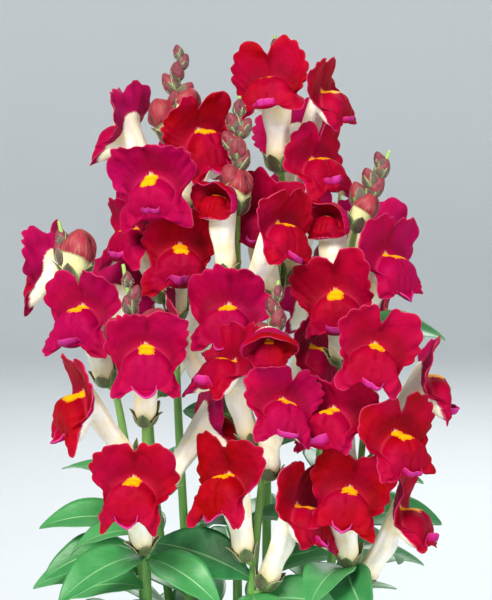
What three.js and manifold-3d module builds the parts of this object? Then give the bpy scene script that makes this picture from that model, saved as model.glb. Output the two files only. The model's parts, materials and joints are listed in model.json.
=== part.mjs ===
// A potted snapdragon (Antirrhinum majus): ten leafy stems that stand in the soil of a plain clay pot
// and carry spikes of two-lipped crimson flowers on white tubes.
// Millimetres, +Z up. The origin is the middle of the pot's foot, and the fullest side faces -Y.
import * as THREE from "three";
import { mergeVertices } from "three/addons/utils/BufferGeometryUtils.js";
import Module from "manifold-3d";

const wasm = await Module();
wasm.setup();

// ---- Driving dimensions ----

const GAP = 0.4; // clearance between pieces that touch
const POT = {
  height: 122,
  topRadius: 78,
  footRadius: 54,
  rimHeight: 22,
  rimStep: 4,
  wall: 5,
  floor: 7,
  sides: 20,
};
const SOIL = { level: 110, mound: 3, crown: 0.6, holeClearance: 0.8, holeSides: 6 };
const STEM = { footRadius: 2.4, tipRadius: 0.8, sides: 5, rowSpacing: 80 };

// The corolla in its own frame: sideways, up and forward of the middle of its throat.
const TUBE = { length: 36, rise: 58, footRadius: 4.1, footLength: 2.4 };
const THROAT = { halfWidth: 8.2, halfHeight: 8.8, lift: 0.5 };
const PALATE = {
  halfWidth: 9.6,
  halfHeight: 8.4,
  drop: 3.8, // of its middle below the throat's
  front: 15,
  groove: 1.0,
  grooveSharpness: 4,
  foot: { forward: 0.58, slant: 0.22 }, // shares of the front: at its sides, and less above, more below
  shoulder: { size: 0.68, forward: 0.93 }, // shares of its outline and of its front
};
const LIP_THICKNESS = 0.8;

// The corolla is built on meridians. Each one leaves the throat in a direction, from the cleft of the
// upper lip (0) to the middle lobe of the lower lip (180), and ends at a point of the lips' edge.
const MERIDIANS = [0, 24, 50, 76, 104, 134, 158, 180];
const OPEN_EDGE = [
  [0, 18.0, 9.0], // cleft of the upper lip
  [8.5, 21.5, 10.0], // crown of an upper lobe
  [17.0, 16.5, 7.5], // its shoulder
  [18.5, 5.0, 4.0], // its flank
  [12.6, -4.5, 5.5], // corner of the mouth
  [13.6, -14.0, 12.0], // side lobe of the lower lip
  [5.6, -13.0, 14.0], // notch beside the middle lobe
  [0, -15.8, 17.0], // middle lobe
];
// The same points on a flower that is just opening, whose upper lip is still folded down as a hood.
const HOODED_EDGE = [
  [0, 10.0, 13.5],
  [6.5, 9.0, 13.5],
  [12.0, 4.0, 9.5],
  [12.5, -3.0, 5.0],
  [9.8, -6.5, 3.0],
  [7.8, -9.5, 5.0],
  [3.6, -10.2, 6.5],
  [0, -10.2, 7.5],
];
const HOODED_PALATE = 0.62; // size of the palate under the hood, as a share of the open one

const CALYX = {
  sepals: 5,
  length: 7,
  radius: 7,
  bellyAlong: 1.4,
  bellyRadius: 6.4,
  neckAlong: -2,
  neckRadius: 1.5,
};
const PEDICEL = { reach: 6.5, rise: 3.5, rootShare: 0.5 };
const LEAF = {
  thickness: 0.8,
  keel: 0.3,
  widthRatio: 0.44,
  arch: 60,
  root: 0.02, // share of its length that is sunk in behind the stem's middle
  stations: [[0.36, 0.98], [0.74, 0.7]], // share of its length, share of its width
};
const BUD = {
  sides: 5,
  root: 1,
  long: 17, // a bud of this length or more has its tube and its cap, a shorter one is a plain knob
  tubeAndCap: [[0.3, 0.24], [0.74, 0.3]], // shares of its length: along it, its radius
  knob: [[0.5, 0.34]],
};

// ---- Colours ----

const CRIMSON = new THREE.MeshStandardMaterial({ color: "#a8001f", roughness: 0.6, metalness: 0 });
const LEAF_GREEN = new THREE.MeshStandardMaterial({ color: "#4f9a4a", roughness: 0.6, metalness: 0 });
const TERRACOTTA = new THREE.MeshStandardMaterial({ color: "#b0623e", roughness: 0.85, metalness: 0 });
const POTTING_SOIL = new THREE.MeshStandardMaterial({ color: "#3a2a20", roughness: 1, metalness: 0 });

// ---- What grows where ----
// path: points of the stem from its foot in the soil to its tip.
// blooms: height of the joint on the stem, direction faced, tilt upwards, size, how far it is open.
// buds: height, direction, tilt upwards, length. leaves: height, direction, rise, length, roll.
// Directions are degrees round the stem: 0 faces -Y and 90 faces +X.
const STEMS = [
  {
    name: "back_left",
    path: [[-22, 10, 88], [-30, 14, 200], [-34, 15, 300], [-33, 15, 372], [-31, 12, 419]],
    blooms: [
      [342, -117, 5, 0.99, 1],
      [340, 32, 7, 0.99, 1],
      [329, -14, -16, 1, 1],
      [297, -50, 6, 0.9, 1],
      [289, 6, 1, 0.98, 1],
      [334, 156, 2, 1.01, 1],
      [301, -166, 5, 1, 1],
    ],
    buds: [
      [372, -60, 10, 26], [378, 62, 15, 24], [387, -10, 10, 13], [393, 75, 0, 12],
      [397, -95, 0, 12], [403, -20, 10, 10], [408, 70, 10, 9], [413, -70, 25, 8],
    ],
    leaves: [
      [121, -81, 64, 53, 0], [137, 172, 51, 57, 0], [158, -120, 40, 52, 20],
      [182, 150, 35, 50, 0], [214, -100, 30, 46, 30],
    ],
  },
  {
    name: "back_right",
    path: [
      [10, 20, 88], [10, 22, 200], [11, 22, 260], [17, 22, 345], [16, 20, 380],
      [13.6, 18, 425],
    ],
    blooms: [
      [359, -19, 23, 1, 1],
      [361, 65, 9, 0.89, 1],
      [326, 41, 6, 0.99, 1],
      [298, -10, 8, 1.03, 1],
      [238, 57, 6, 0.99, 1],
      [338, 165, 0, 1, 1],
      [304, 146, 6, 0.98, 1],
    ],
    buds: [
      [385, 120, 20, 13], [394, -140, 20, 11], [402, 20, 20, 10], [410, 150, 20, 9],
      [417, -40, 30, 7],
    ],
    leaves: [
      [121, 31, 57, 55, -1], [142, 178, 45, 51, 0], [164, 80, 40, 50, -20],
      [190, 195, 35, 48, 0], [226, 110, 35, 42, -20],
    ],
  },
  {
    name: "middle",
    path: [[-4, -8, 88], [-4, -12, 200], [-4, -14, 300], [-4, -14, 360], [-3, -14, 397]],
    blooms: [
      [310, -39, 25, 0.94, 0],
      [301, 44, 1, 0.96, 1],
      [261, -9, 6, 0.98, 1],
      [248, -78, 0, 1, 1],
    ],
    buds: [
      [340, 38, 30, 24], [347, -65, 20, 19], [362, 70, 10, 12], [366, 0, 15, 13],
      [371, -80, 0, 12], [377, 80, 5, 11], [380, -60, 5, 11], [387, 10, 25, 9],
    ],
    leaves: [
      [124, 0, 60, 40, 0], [146, 120, 50, 42, 0], [179, -159, 42, 42, 26],
      [238, -115, 40, 38, 35], [202, -22, 30, 40, 10], [196, 58, 30, 40, -20],
    ],
  },
  {
    name: "right",
    path: [
      [34, 2, 88], [42, 0, 200], [44, -2, 254], [46.5, -4, 301], [51, -6, 334], [59, -8, 352],
      [66.7, -10, 371.5],
    ],
    blooms: [
      [299, -37, 26, 0.95, 0],
      [270, -6, -3, 1, 1],
      [284, 47, 3, 0.99, 1],
      [292, 155, 0, 1, 1],
    ],
    buds: [
      [332, 62, 10, 22], [343, -80, 20, 15], [349, 75, 10, 13], [353, -50, 10, 12],
      [358, 70, 10, 11], [363, -60, 15, 9],
    ],
    leaves: [
      [120, 120, 60, 56, 0], [136, 27, 50, 50, 0], [170, 105, 30, 52, -20],
      [194, 80, 25, 54, -35], [268, 98, 45, 48, -30], [283, 78, 25, 52, -25],
      [214, 62, 28, 44, -30],
    ],
  },
  {
    name: "front_left",
    path: [[-38, -26, 88], [-45, -42, 160], [-46, -48, 250], [-50, -52, 290], [-55.5, -54, 322]],
    blooms: [
      [247, 3, 4, 1, 1],
      [227, -65, -4, 1, 1],
      [214, 101, -1, 0.99, 1],
      [188, -9, 0, 1, 1],
    ],
    buds: [
      [277, -72, 0, 25], [279, 72, 10, 25], [287, 10, 15, 14], [298, -60, 15, 11],
      [303, 70, 15, 10], [311, -20, 30, 8],
    ],
    leaves: [
      [122, -60, 60, 56, 0], [150, 12, 25, 48, 0], [172, -106, 10, 53, 31],
      [187, -42, 8, 52, 18], [186, 40, 2, 47, -32], [198, -100, 8, 44, 30], [166, 2, 4, 46, 8],
    ],
  },
  {
    name: "front_middle",
    path: [
      [0, -36, 88], [2, -46, 160], [5, -52, 200], [8, -54, 230], [12, -56, 280],
      [14.6, -58, 315],
    ],
    blooms: [
      [257, 0, 0, 0.89, 0],
      [223, 23, 9, 0.94, 1],
      [237, -57, 16, 0.95, 1],
      [185, -33, 13, 1, 1],
      [171, 58, 7, 1.01, 1],
    ],
    buds: [
      [273, 44, 10, 21], [281, -70, 10, 17], [291, 40, 15, 12], [298, -60, 15, 10],
      [305, 40, 25, 8],
    ],
    leaves: [
      [120, 20, 60, 54, 0], [152, -18, 25, 50, 0], [177, -93, 31, 56, 53],
      [167, 71, 12, 50, -46], [199, -130, 23, 41, 12], [170, 8, 0, 48, -12],
    ],
  },
  {
    name: "left",
    path: [[-44, 0, 88], [-50, -8, 180], [-62, -14, 264], [-78, -18, 300], [-86.5, -20, 339.5]],
    blooms: [
      [281, -129, 2, 0.98, 1],
      [261, -30, 4, 1, 1],
      [262, 180, 0, 1, 1],
    ],
    buds: [[306, 60, 28, 30], [318, -70, 10, 13], [326, -110, 20, 10]],
    leaves: [
      [122, -120, 60, 56, 0], [148, -50, 30, 52, 15], [172, -86, 15, 56, 30],
      [196, -72, 22, 48, 38], [212, -105, 42, 40, 20], [184, -62, 10, 48, 25],
    ],
  },
  {
    name: "front_right",
    path: [[32, -28, 88], [44, -38, 160], [50, -42, 200], [53.6, -46, 244], [59, -48, 289]],
    blooms: [
      [246, 7, 6, 1, 1],
      [218, -29, 5, 0.97, 1],
      [232, 92, 0, 1, 1],
      [209, 34, -2, 1, 1],
      [170, 70, 2, 1, 1],
      [181, -3, 5, 0.99, 1],
    ],
    buds: [[262, -60, 20, 14], [270, 60, 20, 11], [278, -30, 20, 9]],
    leaves: [
      [120, 60, 60, 56, 0], [156, -95, 20, 48, 35], [180, -23, 18, 50, 8],
      [179, -4, 5, 48, -29], [196, -83, 5, 45, 32], [190, 130, 7, 46, -35],
    ],
  },
  {
    name: "rear_left",
    path: [[-28, 38, 88], [-44, 46, 200], [-50, 50, 290], [-54, 52, 345]],
    blooms: [
      [282, 180, 0, 1, 1],
      [260, -115, 0, 1, 1],
      [248, 125, 0, 1, 1],
    ],
    buds: [[302, 60, 20, 22], [310, -60, 20, 16], [320, 180, 20, 12], [330, 60, 20, 9]],
    leaves: [
      [120, 180, 60, 56, 0], [138, -110, 50, 52, 0], [158, 140, 40, 52, 0],
      [180, -150, 35, 50, 0], [210, 180, 35, 46, 0],
    ],
  },
  {
    name: "rear_right",
    path: [[20, 42, 88], [34, 50, 200], [42, 54, 290], [46, 56, 350]],
    blooms: [
      [282, 136, -1, 1, 1],
      [260, -170, 0, 1, 1],
      [254, 80, 0, 1, 1],
    ],
    buds: [[304, -60, 20, 22], [312, 60, 20, 16], [322, 180, 20, 12], [332, -60, 20, 9]],
    leaves: [
      [120, 160, 60, 56, 0], [138, 90, 50, 52, 0], [158, -160, 40, 52, 0],
      [180, 120, 35, 50, 0], [210, 170, 35, 46, 0],
    ],
  },
];

// ---- Building blocks ----

const at = (x, y, z) => new THREE.Vector3(x, y, z);
const sine = (degrees) => Math.sin(THREE.MathUtils.degToRad(degrees));
const cosine = (degrees) => Math.cos(THREE.MathUtils.degToRad(degrees));

// A closed skin over rows of points, drawn together at a foot point and a tip point.
function skin(foot, rows, tip) {
  const sides = rows[0].length;
  const vertices = [foot, ...rows.flat(), tip];
  const faces = [];
  for (let side = 0; side < sides; side++) {
    const here = 1 + side;
    const next = 1 + ((side + 1) % sides);
    faces.push([0, next, here]);
    for (let row = 0; row < rows.length - 1; row++) {
      const low = row * sides;
      const high = low + sides;
      faces.push([here + low, next + low, next + high], [here + low, next + high, here + high]);
    }
    const last = (rows.length - 1) * sides;
    faces.push([here + last, next + last, vertices.length - 1]);
  }
  return { vertices, faces };
}

// A closed skin becomes a solid that can be joined and cut.
function solid({ vertices, faces }) {
  return new wasm.Manifold(
    new wasm.Mesh({
      numProp: 3,
      vertProperties: new Float32Array(vertices.flatMap((vertex) => vertex.toArray())),
      triVerts: new Uint32Array(faces.flat()),
    }),
  );
}

// The points that a rule places at even angles.
function ring(sides, place) {
  return Array.from({ length: sides }, (_, side) => place((360 * side) / sides));
}

// The point of a stem at a height: a smooth curve through the points of its path.
function alongStem(path, height) {
  const last = path.length - 1;
  let i = 0;
  while (i < last - 1 && height > path[i + 1][2]) i++;
  const slope = (index, axis) => {
    const before = path[Math.max(index - 1, 0)];
    const after = path[Math.min(index + 1, last)];
    return (after[axis] - before[axis]) / (after[2] - before[2]);
  };
  const span = path[i + 1][2] - path[i][2];
  const t = (height - path[i][2]) / span;
  const [x, y] = [0, 1].map((axis) => {
    const rise = path[i + 1][axis] - path[i][axis];
    const a = span * slope(i, axis) - rise;
    const b = rise - span * slope(i + 1, axis);
    return path[i][axis] + t * rise + t * (1 - t) * (a * (1 - t) + b * t);
  });
  return at(x, y, height);
}

// A stem tapers to its tip.
const stemRadius = (path, height) => {
  const [foot, tip] = [path[0][2], path.at(-1)[2]];
  const share = (tip - height) / (tip - foot);
  return THREE.MathUtils.lerp(STEM.tipRadius, STEM.footRadius, Math.sqrt(share));
};

// Where a part that grows from a stem stands: turned to its direction and tilted up, at a scale.
function placing(origin, direction, tilt, size = 1) {
  const turn = new THREE.Matrix4().makeRotationZ(THREE.MathUtils.degToRad(direction));
  const lift = new THREE.Matrix4().makeRotationX(THREE.MathUtils.degToRad(-tilt));
  const scale = new THREE.Matrix4().makeScale(size, size, size);
  return new THREE.Matrix4().makeTranslation(origin).multiply(turn).multiply(lift).multiply(scale);
}

const placed = ({ vertices, faces }, matrix) => ({
  vertices: vertices.map((vertex) => vertex.clone().applyMatrix4(matrix)),
  faces,
});

// ---- Flower ----

// A point round the tube's axis, which leaves the calyx at the origin and rises forwards (-Y).
function roundTube(along, radius, angle) {
  const forward = along * cosine(TUBE.rise) - radius * cosine(angle) * sine(TUBE.rise);
  const up = along * sine(TUBE.rise) + radius * cosine(angle) * cosine(TUBE.rise);
  return at(-radius * sine(angle), -forward, up);
}

// A point of the face, measured from the middle of the throat.
const onFace = (sideways, up, forward) =>
  at(-sideways, -TUBE.length * cosine(TUBE.rise) - forward, TUBE.length * sine(TUBE.rise) + up);

// The rows of one half of the corolla, one point for each meridian, and its poles.
function corollaHalf(opening) {
  const swell = THREE.MathUtils.lerp(HOODED_PALATE, 1, opening);
  const forwards = at(0, -1, 0);
  const rows = MERIDIANS.map((angle, index) => {
    const hooded = HOODED_EDGE[index];
    const edge = OPEN_EDGE[index].map((open, axis) => THREE.MathUtils.lerp(hooded[axis], open, opening));
    const foot = roundTube(TUBE.footLength, TUBE.footRadius, angle);
    const throat = onFace(
      THROAT.halfWidth * sine(angle),
      THROAT.lift + THROAT.halfHeight * cosine(angle),
      0,
    );
    const edgeFront = onFace(...edge);
    const outwards = edgeFront.clone().sub(throat).normalize();
    const normal = forwards.clone().addScaledVector(outwards, -forwards.dot(outwards)).normalize();
    const edgeBack = edgeFront.clone().addScaledVector(normal, -LIP_THICKNESS);
    const palate = (share, forward) =>
      onFace(
        swell * share * PALATE.halfWidth * sine(angle),
        swell * (share * PALATE.halfHeight * cosine(angle) - PALATE.drop),
        swell * forward,
      );
    const { foot: base, shoulder: brow } = PALATE;
    const crease = palate(1, PALATE.front * (base.forward - base.slant * cosine(angle)));
    const grooved = PALATE.groove * Math.abs(cosine(angle)) ** PALATE.grooveSharpness;
    const shoulder = palate(brow.size, PALATE.front * brow.forward - grooved);
    return [foot, throat, edgeBack, edgeFront, crease, shoulder];
  });
  const front = onFace(0, -swell * PALATE.drop, swell * (PALATE.front - PALATE.groove));
  return { foot: at(0, 0, 0), rows, front };
}

// The whole flower's corolla, fused from its petals, as it grows: hooded (0) to open (1).
function corolla(opening) {
  const { foot, rows, front } = corollaHalf(opening);
  const mirrored = rows
    .slice(1, -1)
    .reverse()
    .map((row) => row.map(({ x, y, z }) => at(-x, y, z)));
  const meridians = [...rows, ...mirrored];
  const rings = rows[0].map((_, row) => meridians.map((meridian) => meridian[row]));
  return skin(foot, rings, front);
}

// Five sepals joined in a cup round the foot of the tube, on the pedicel that comes from the stem.
function calyx(onStem, matrix) {
  const round = (along, radius) =>
    ring(CALYX.sepals, (angle) => roundTube(along, radius, angle).applyMatrix4(matrix));
  const neckCentre = roundTube(CALYX.neckAlong, 0, 0).applyMatrix4(matrix);
  const neck = round(CALYX.neckAlong, CALYX.neckRadius);
  const rows = [
    neck.map((vertex) => vertex.clone().sub(neckCentre).multiplyScalar(PEDICEL.rootShare).add(onStem)),
    neck,
    round(CALYX.bellyAlong, CALYX.bellyRadius),
    round(CALYX.length, CALYX.radius),
    round(TUBE.footLength, (TUBE.footRadius + GAP) / cosine(180 / CALYX.sepals)),
  ];
  return skin(onStem, rows, roundTube(-GAP, 0, 0).applyMatrix4(matrix));
}

// ---- Green parts ----

// An upright column round a stem's path, in level rings at the given heights.
function column(path, heights, radiusAt, sides) {
  const rows = heights.map((height) => {
    const centre = alongStem(path, height);
    const radius = radiusAt(height);
    return ring(sides, (angle) => at(radius * cosine(angle), radius * sine(angle), 0).add(centre));
  });
  return skin(alongStem(path, heights[0]), rows, alongStem(path, heights.at(-1)));
}

// The bare stem, in rings of few sides.
function stalk(path) {
  const [foot, tip] = [path[0][2], path.at(-1)[2]];
  const count = Math.round((tip - foot) / STEM.rowSpacing);
  const heights = Array.from({ length: count + 1 }, (_, row) => foot + ((tip - foot) * row) / count);
  return column(path, heights, (height) => stemRadius(path, height), STEM.sides);
}

// An arched blade with a keel under its midrib. It leaves the origin forwards (-Y).
function levelLeaf(length) {
  const radius = length / THREE.MathUtils.degToRad(LEAF.arch);
  const midrib = (share) => {
    const angle = -LEAF.arch * share;
    return at(0, radius * sine(angle), radius * (cosine(angle) - 1));
  };
  const rows = LEAF.stations.map(([share, fullness]) => {
    const middle = midrib(share);
    const angle = -LEAF.arch * share;
    const above = at(0, sine(angle), cosine(angle)).multiplyScalar(LEAF.thickness / 2);
    const halfWidth = (length * LEAF.widthRatio * fullness) / 2;
    const right = middle.clone().add(at(halfWidth, 0, LEAF.keel * halfWidth));
    const left = middle.clone().add(at(-halfWidth, 0, LEAF.keel * halfWidth));
    const top = [right, middle, left].map((vertex) => vertex.clone().add(above));
    const underside = [left, middle, right].map((vertex) => vertex.clone().sub(above));
    return [...top, ...underside];
  });
  return skin(midrib(-LEAF.root), rows, midrib(1));
}

// The blade, rolled about the line in which it leaves the stem, and lifted to its rise.
function leaf(rise, length, roll) {
  const rolled = new THREE.Matrix4().makeRotationY(THREE.MathUtils.degToRad(roll));
  const lifted = new THREE.Matrix4().makeRotationX(THREE.MathUtils.degToRad(-rise));
  return placed(levelLeaf(length), lifted.multiply(rolled));
}

// A closed bud: a tube under a rounded cap, or a knob near the stem's tip.
function bud(length) {
  const profile = length < BUD.long ? BUD.knob : BUD.tubeAndCap;
  const rows = profile.map(([along, radius]) =>
    ring(BUD.sides, (angle) => roundTube(length * along, length * radius, angle)),
  );
  return skin(roundTube(-BUD.root, 0, 0), rows, roundTube(length, 0, 0));
}

// ---- Pot and soil ----

// A closed profile of radii and heights, turned round the Z axis.
function turned(profile, sides) {
  const outline = profile.map(([radius, height]) => new THREE.Vector2(radius, height));
  const geometry = new THREE.LatheGeometry(outline, sides);
  geometry.deleteAttribute("normal");
  geometry.deleteAttribute("uv");
  geometry.rotateX(Math.PI / 2);
  const merged = mergeVertices(geometry);
  const vertices = [];
  for (let i = 0; i < merged.attributes.position.count; i++) {
    vertices.push(at(0, 0, 0).fromBufferAttribute(merged.attributes.position, i));
  }
  const faces = [];
  for (let i = 0; i < merged.index.count; i += 3) {
    const face = [0, 1, 2].map((corner) => merged.index.getX(i + corner));
    if (new Set(face).size === 3) faces.push(face);
  }
  return { vertices, faces };
}

const potRadius = (height) =>
  THREE.MathUtils.lerp(POT.footRadius, POT.topRadius - POT.rimStep, height / POT.height);

function pot() {
  const rimFoot = POT.height - POT.rimHeight;
  return turned(
    [
      [0, 0],
      [POT.footRadius, 0],
      [potRadius(rimFoot), rimFoot],
      [potRadius(rimFoot) + POT.rimStep, rimFoot],
      [POT.topRadius, POT.height],
      [POT.topRadius - POT.rimStep - POT.wall, POT.height],
      [potRadius(POT.floor) - POT.wall, POT.floor],
      [0, POT.floor],
    ],
    POT.sides,
  );
}

// The soil fills the pot to a little below its rim, with a plain hole for the foot of each stem.
function soil(stems) {
  const inner = (height) => {
    const share = (height - POT.floor) / (POT.height - POT.floor);
    const [low, high] = [potRadius(POT.floor) - POT.wall, POT.topRadius - POT.rimStep - POT.wall];
    return THREE.MathUtils.lerp(low, high, share) - GAP;
  };
  const foot = POT.floor + GAP;
  const crest = SOIL.level + SOIL.mound;
  const body = turned(
    [
      [0, foot],
      [inner(foot), foot],
      [inner(SOIL.level), SOIL.level],
      [inner(SOIL.level) * SOIL.crown, crest],
      [0, crest],
    ],
    POT.sides,
  );
  const top = crest + SOIL.mound;
  const radius = (STEM.footRadius + SOIL.holeClearance) / cosine(180 / SOIL.holeSides);
  return stems.reduce((rest, { path }) => {
    const hole = column(path, [path[0][2] - GAP, top], () => radius, SOIL.holeSides);
    return rest.subtract(solid(hole));
  }, solid(body));
}

// ---- Assembly ----

const group = new THREE.Group();

// A solid becomes a named mesh of the group.
function add(name, made, material) {
  const { numProp, vertProperties, triVerts } = made.getMesh();
  const positions = [];
  for (let i = 0; i < vertProperties.length; i += numProp) {
    positions.push(...vertProperties.subarray(i, i + 3));
  }
  const geometry = new THREE.BufferGeometry();
  geometry.setAttribute("position", new THREE.Float32BufferAttribute(positions, 3));
  geometry.setIndex([...triVerts]);
  geometry.computeVertexNormals();
  const mesh = new THREE.Mesh(geometry, material);
  mesh.name = name;
  group.add(mesh);
}

for (const { name, path, blooms, buds, leaves } of STEMS) {
  const greens = [stalk(path)];
  blooms.forEach(([height, direction, tilt, size, opening], index) => {
    const joint = alongStem(path, height);
    const away = at(PEDICEL.reach * sine(direction), -PEDICEL.reach * cosine(direction), PEDICEL.rise);
    const matrix = placing(joint.clone().add(away), direction, tilt, size);
    greens.push(calyx(joint, matrix));
    add(`bloom_${name}_${index + 1}`, solid(placed(corolla(opening), matrix)), CRIMSON);
  });
  for (const [height, direction, tilt, length] of buds) {
    greens.push(placed(bud(length), placing(alongStem(path, height), direction, tilt)));
  }
  for (const [height, direction, rise, length, roll] of leaves) {
    greens.push(placed(leaf(rise, length, roll), placing(alongStem(path, height), direction, 0)));
  }
  add(`stem_${name}`, greens.map(solid).reduce((joined, part) => joined.add(part)), LEAF_GREEN);
}
add("pot", solid(pot()), TERRACOTTA);
add("soil", soil(STEMS), POTTING_SOIL);

export default group;
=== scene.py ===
"""Looks of the potted snapdragon: flowers, leafy stems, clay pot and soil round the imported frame."""
import json
import math

import bpy
import numpy as np
from mathutils import Matrix, Vector

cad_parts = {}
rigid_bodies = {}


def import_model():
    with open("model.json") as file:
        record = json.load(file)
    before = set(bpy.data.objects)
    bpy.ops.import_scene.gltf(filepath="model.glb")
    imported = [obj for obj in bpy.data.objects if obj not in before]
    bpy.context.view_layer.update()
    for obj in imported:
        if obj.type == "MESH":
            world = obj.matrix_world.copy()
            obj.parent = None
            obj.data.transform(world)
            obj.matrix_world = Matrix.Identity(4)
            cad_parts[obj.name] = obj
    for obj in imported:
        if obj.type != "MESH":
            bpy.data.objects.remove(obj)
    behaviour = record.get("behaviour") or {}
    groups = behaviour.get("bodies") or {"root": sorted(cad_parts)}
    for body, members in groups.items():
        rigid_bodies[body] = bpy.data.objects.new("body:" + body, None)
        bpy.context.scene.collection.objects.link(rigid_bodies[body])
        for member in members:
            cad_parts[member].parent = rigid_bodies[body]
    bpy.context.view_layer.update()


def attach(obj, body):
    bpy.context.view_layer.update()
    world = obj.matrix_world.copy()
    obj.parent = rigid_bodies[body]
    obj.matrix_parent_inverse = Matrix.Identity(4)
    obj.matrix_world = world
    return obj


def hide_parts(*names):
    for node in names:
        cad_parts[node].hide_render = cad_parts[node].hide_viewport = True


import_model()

MM = 0.001  # the lists and shapes below are in millimetres, and a mesh is in metres

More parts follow.
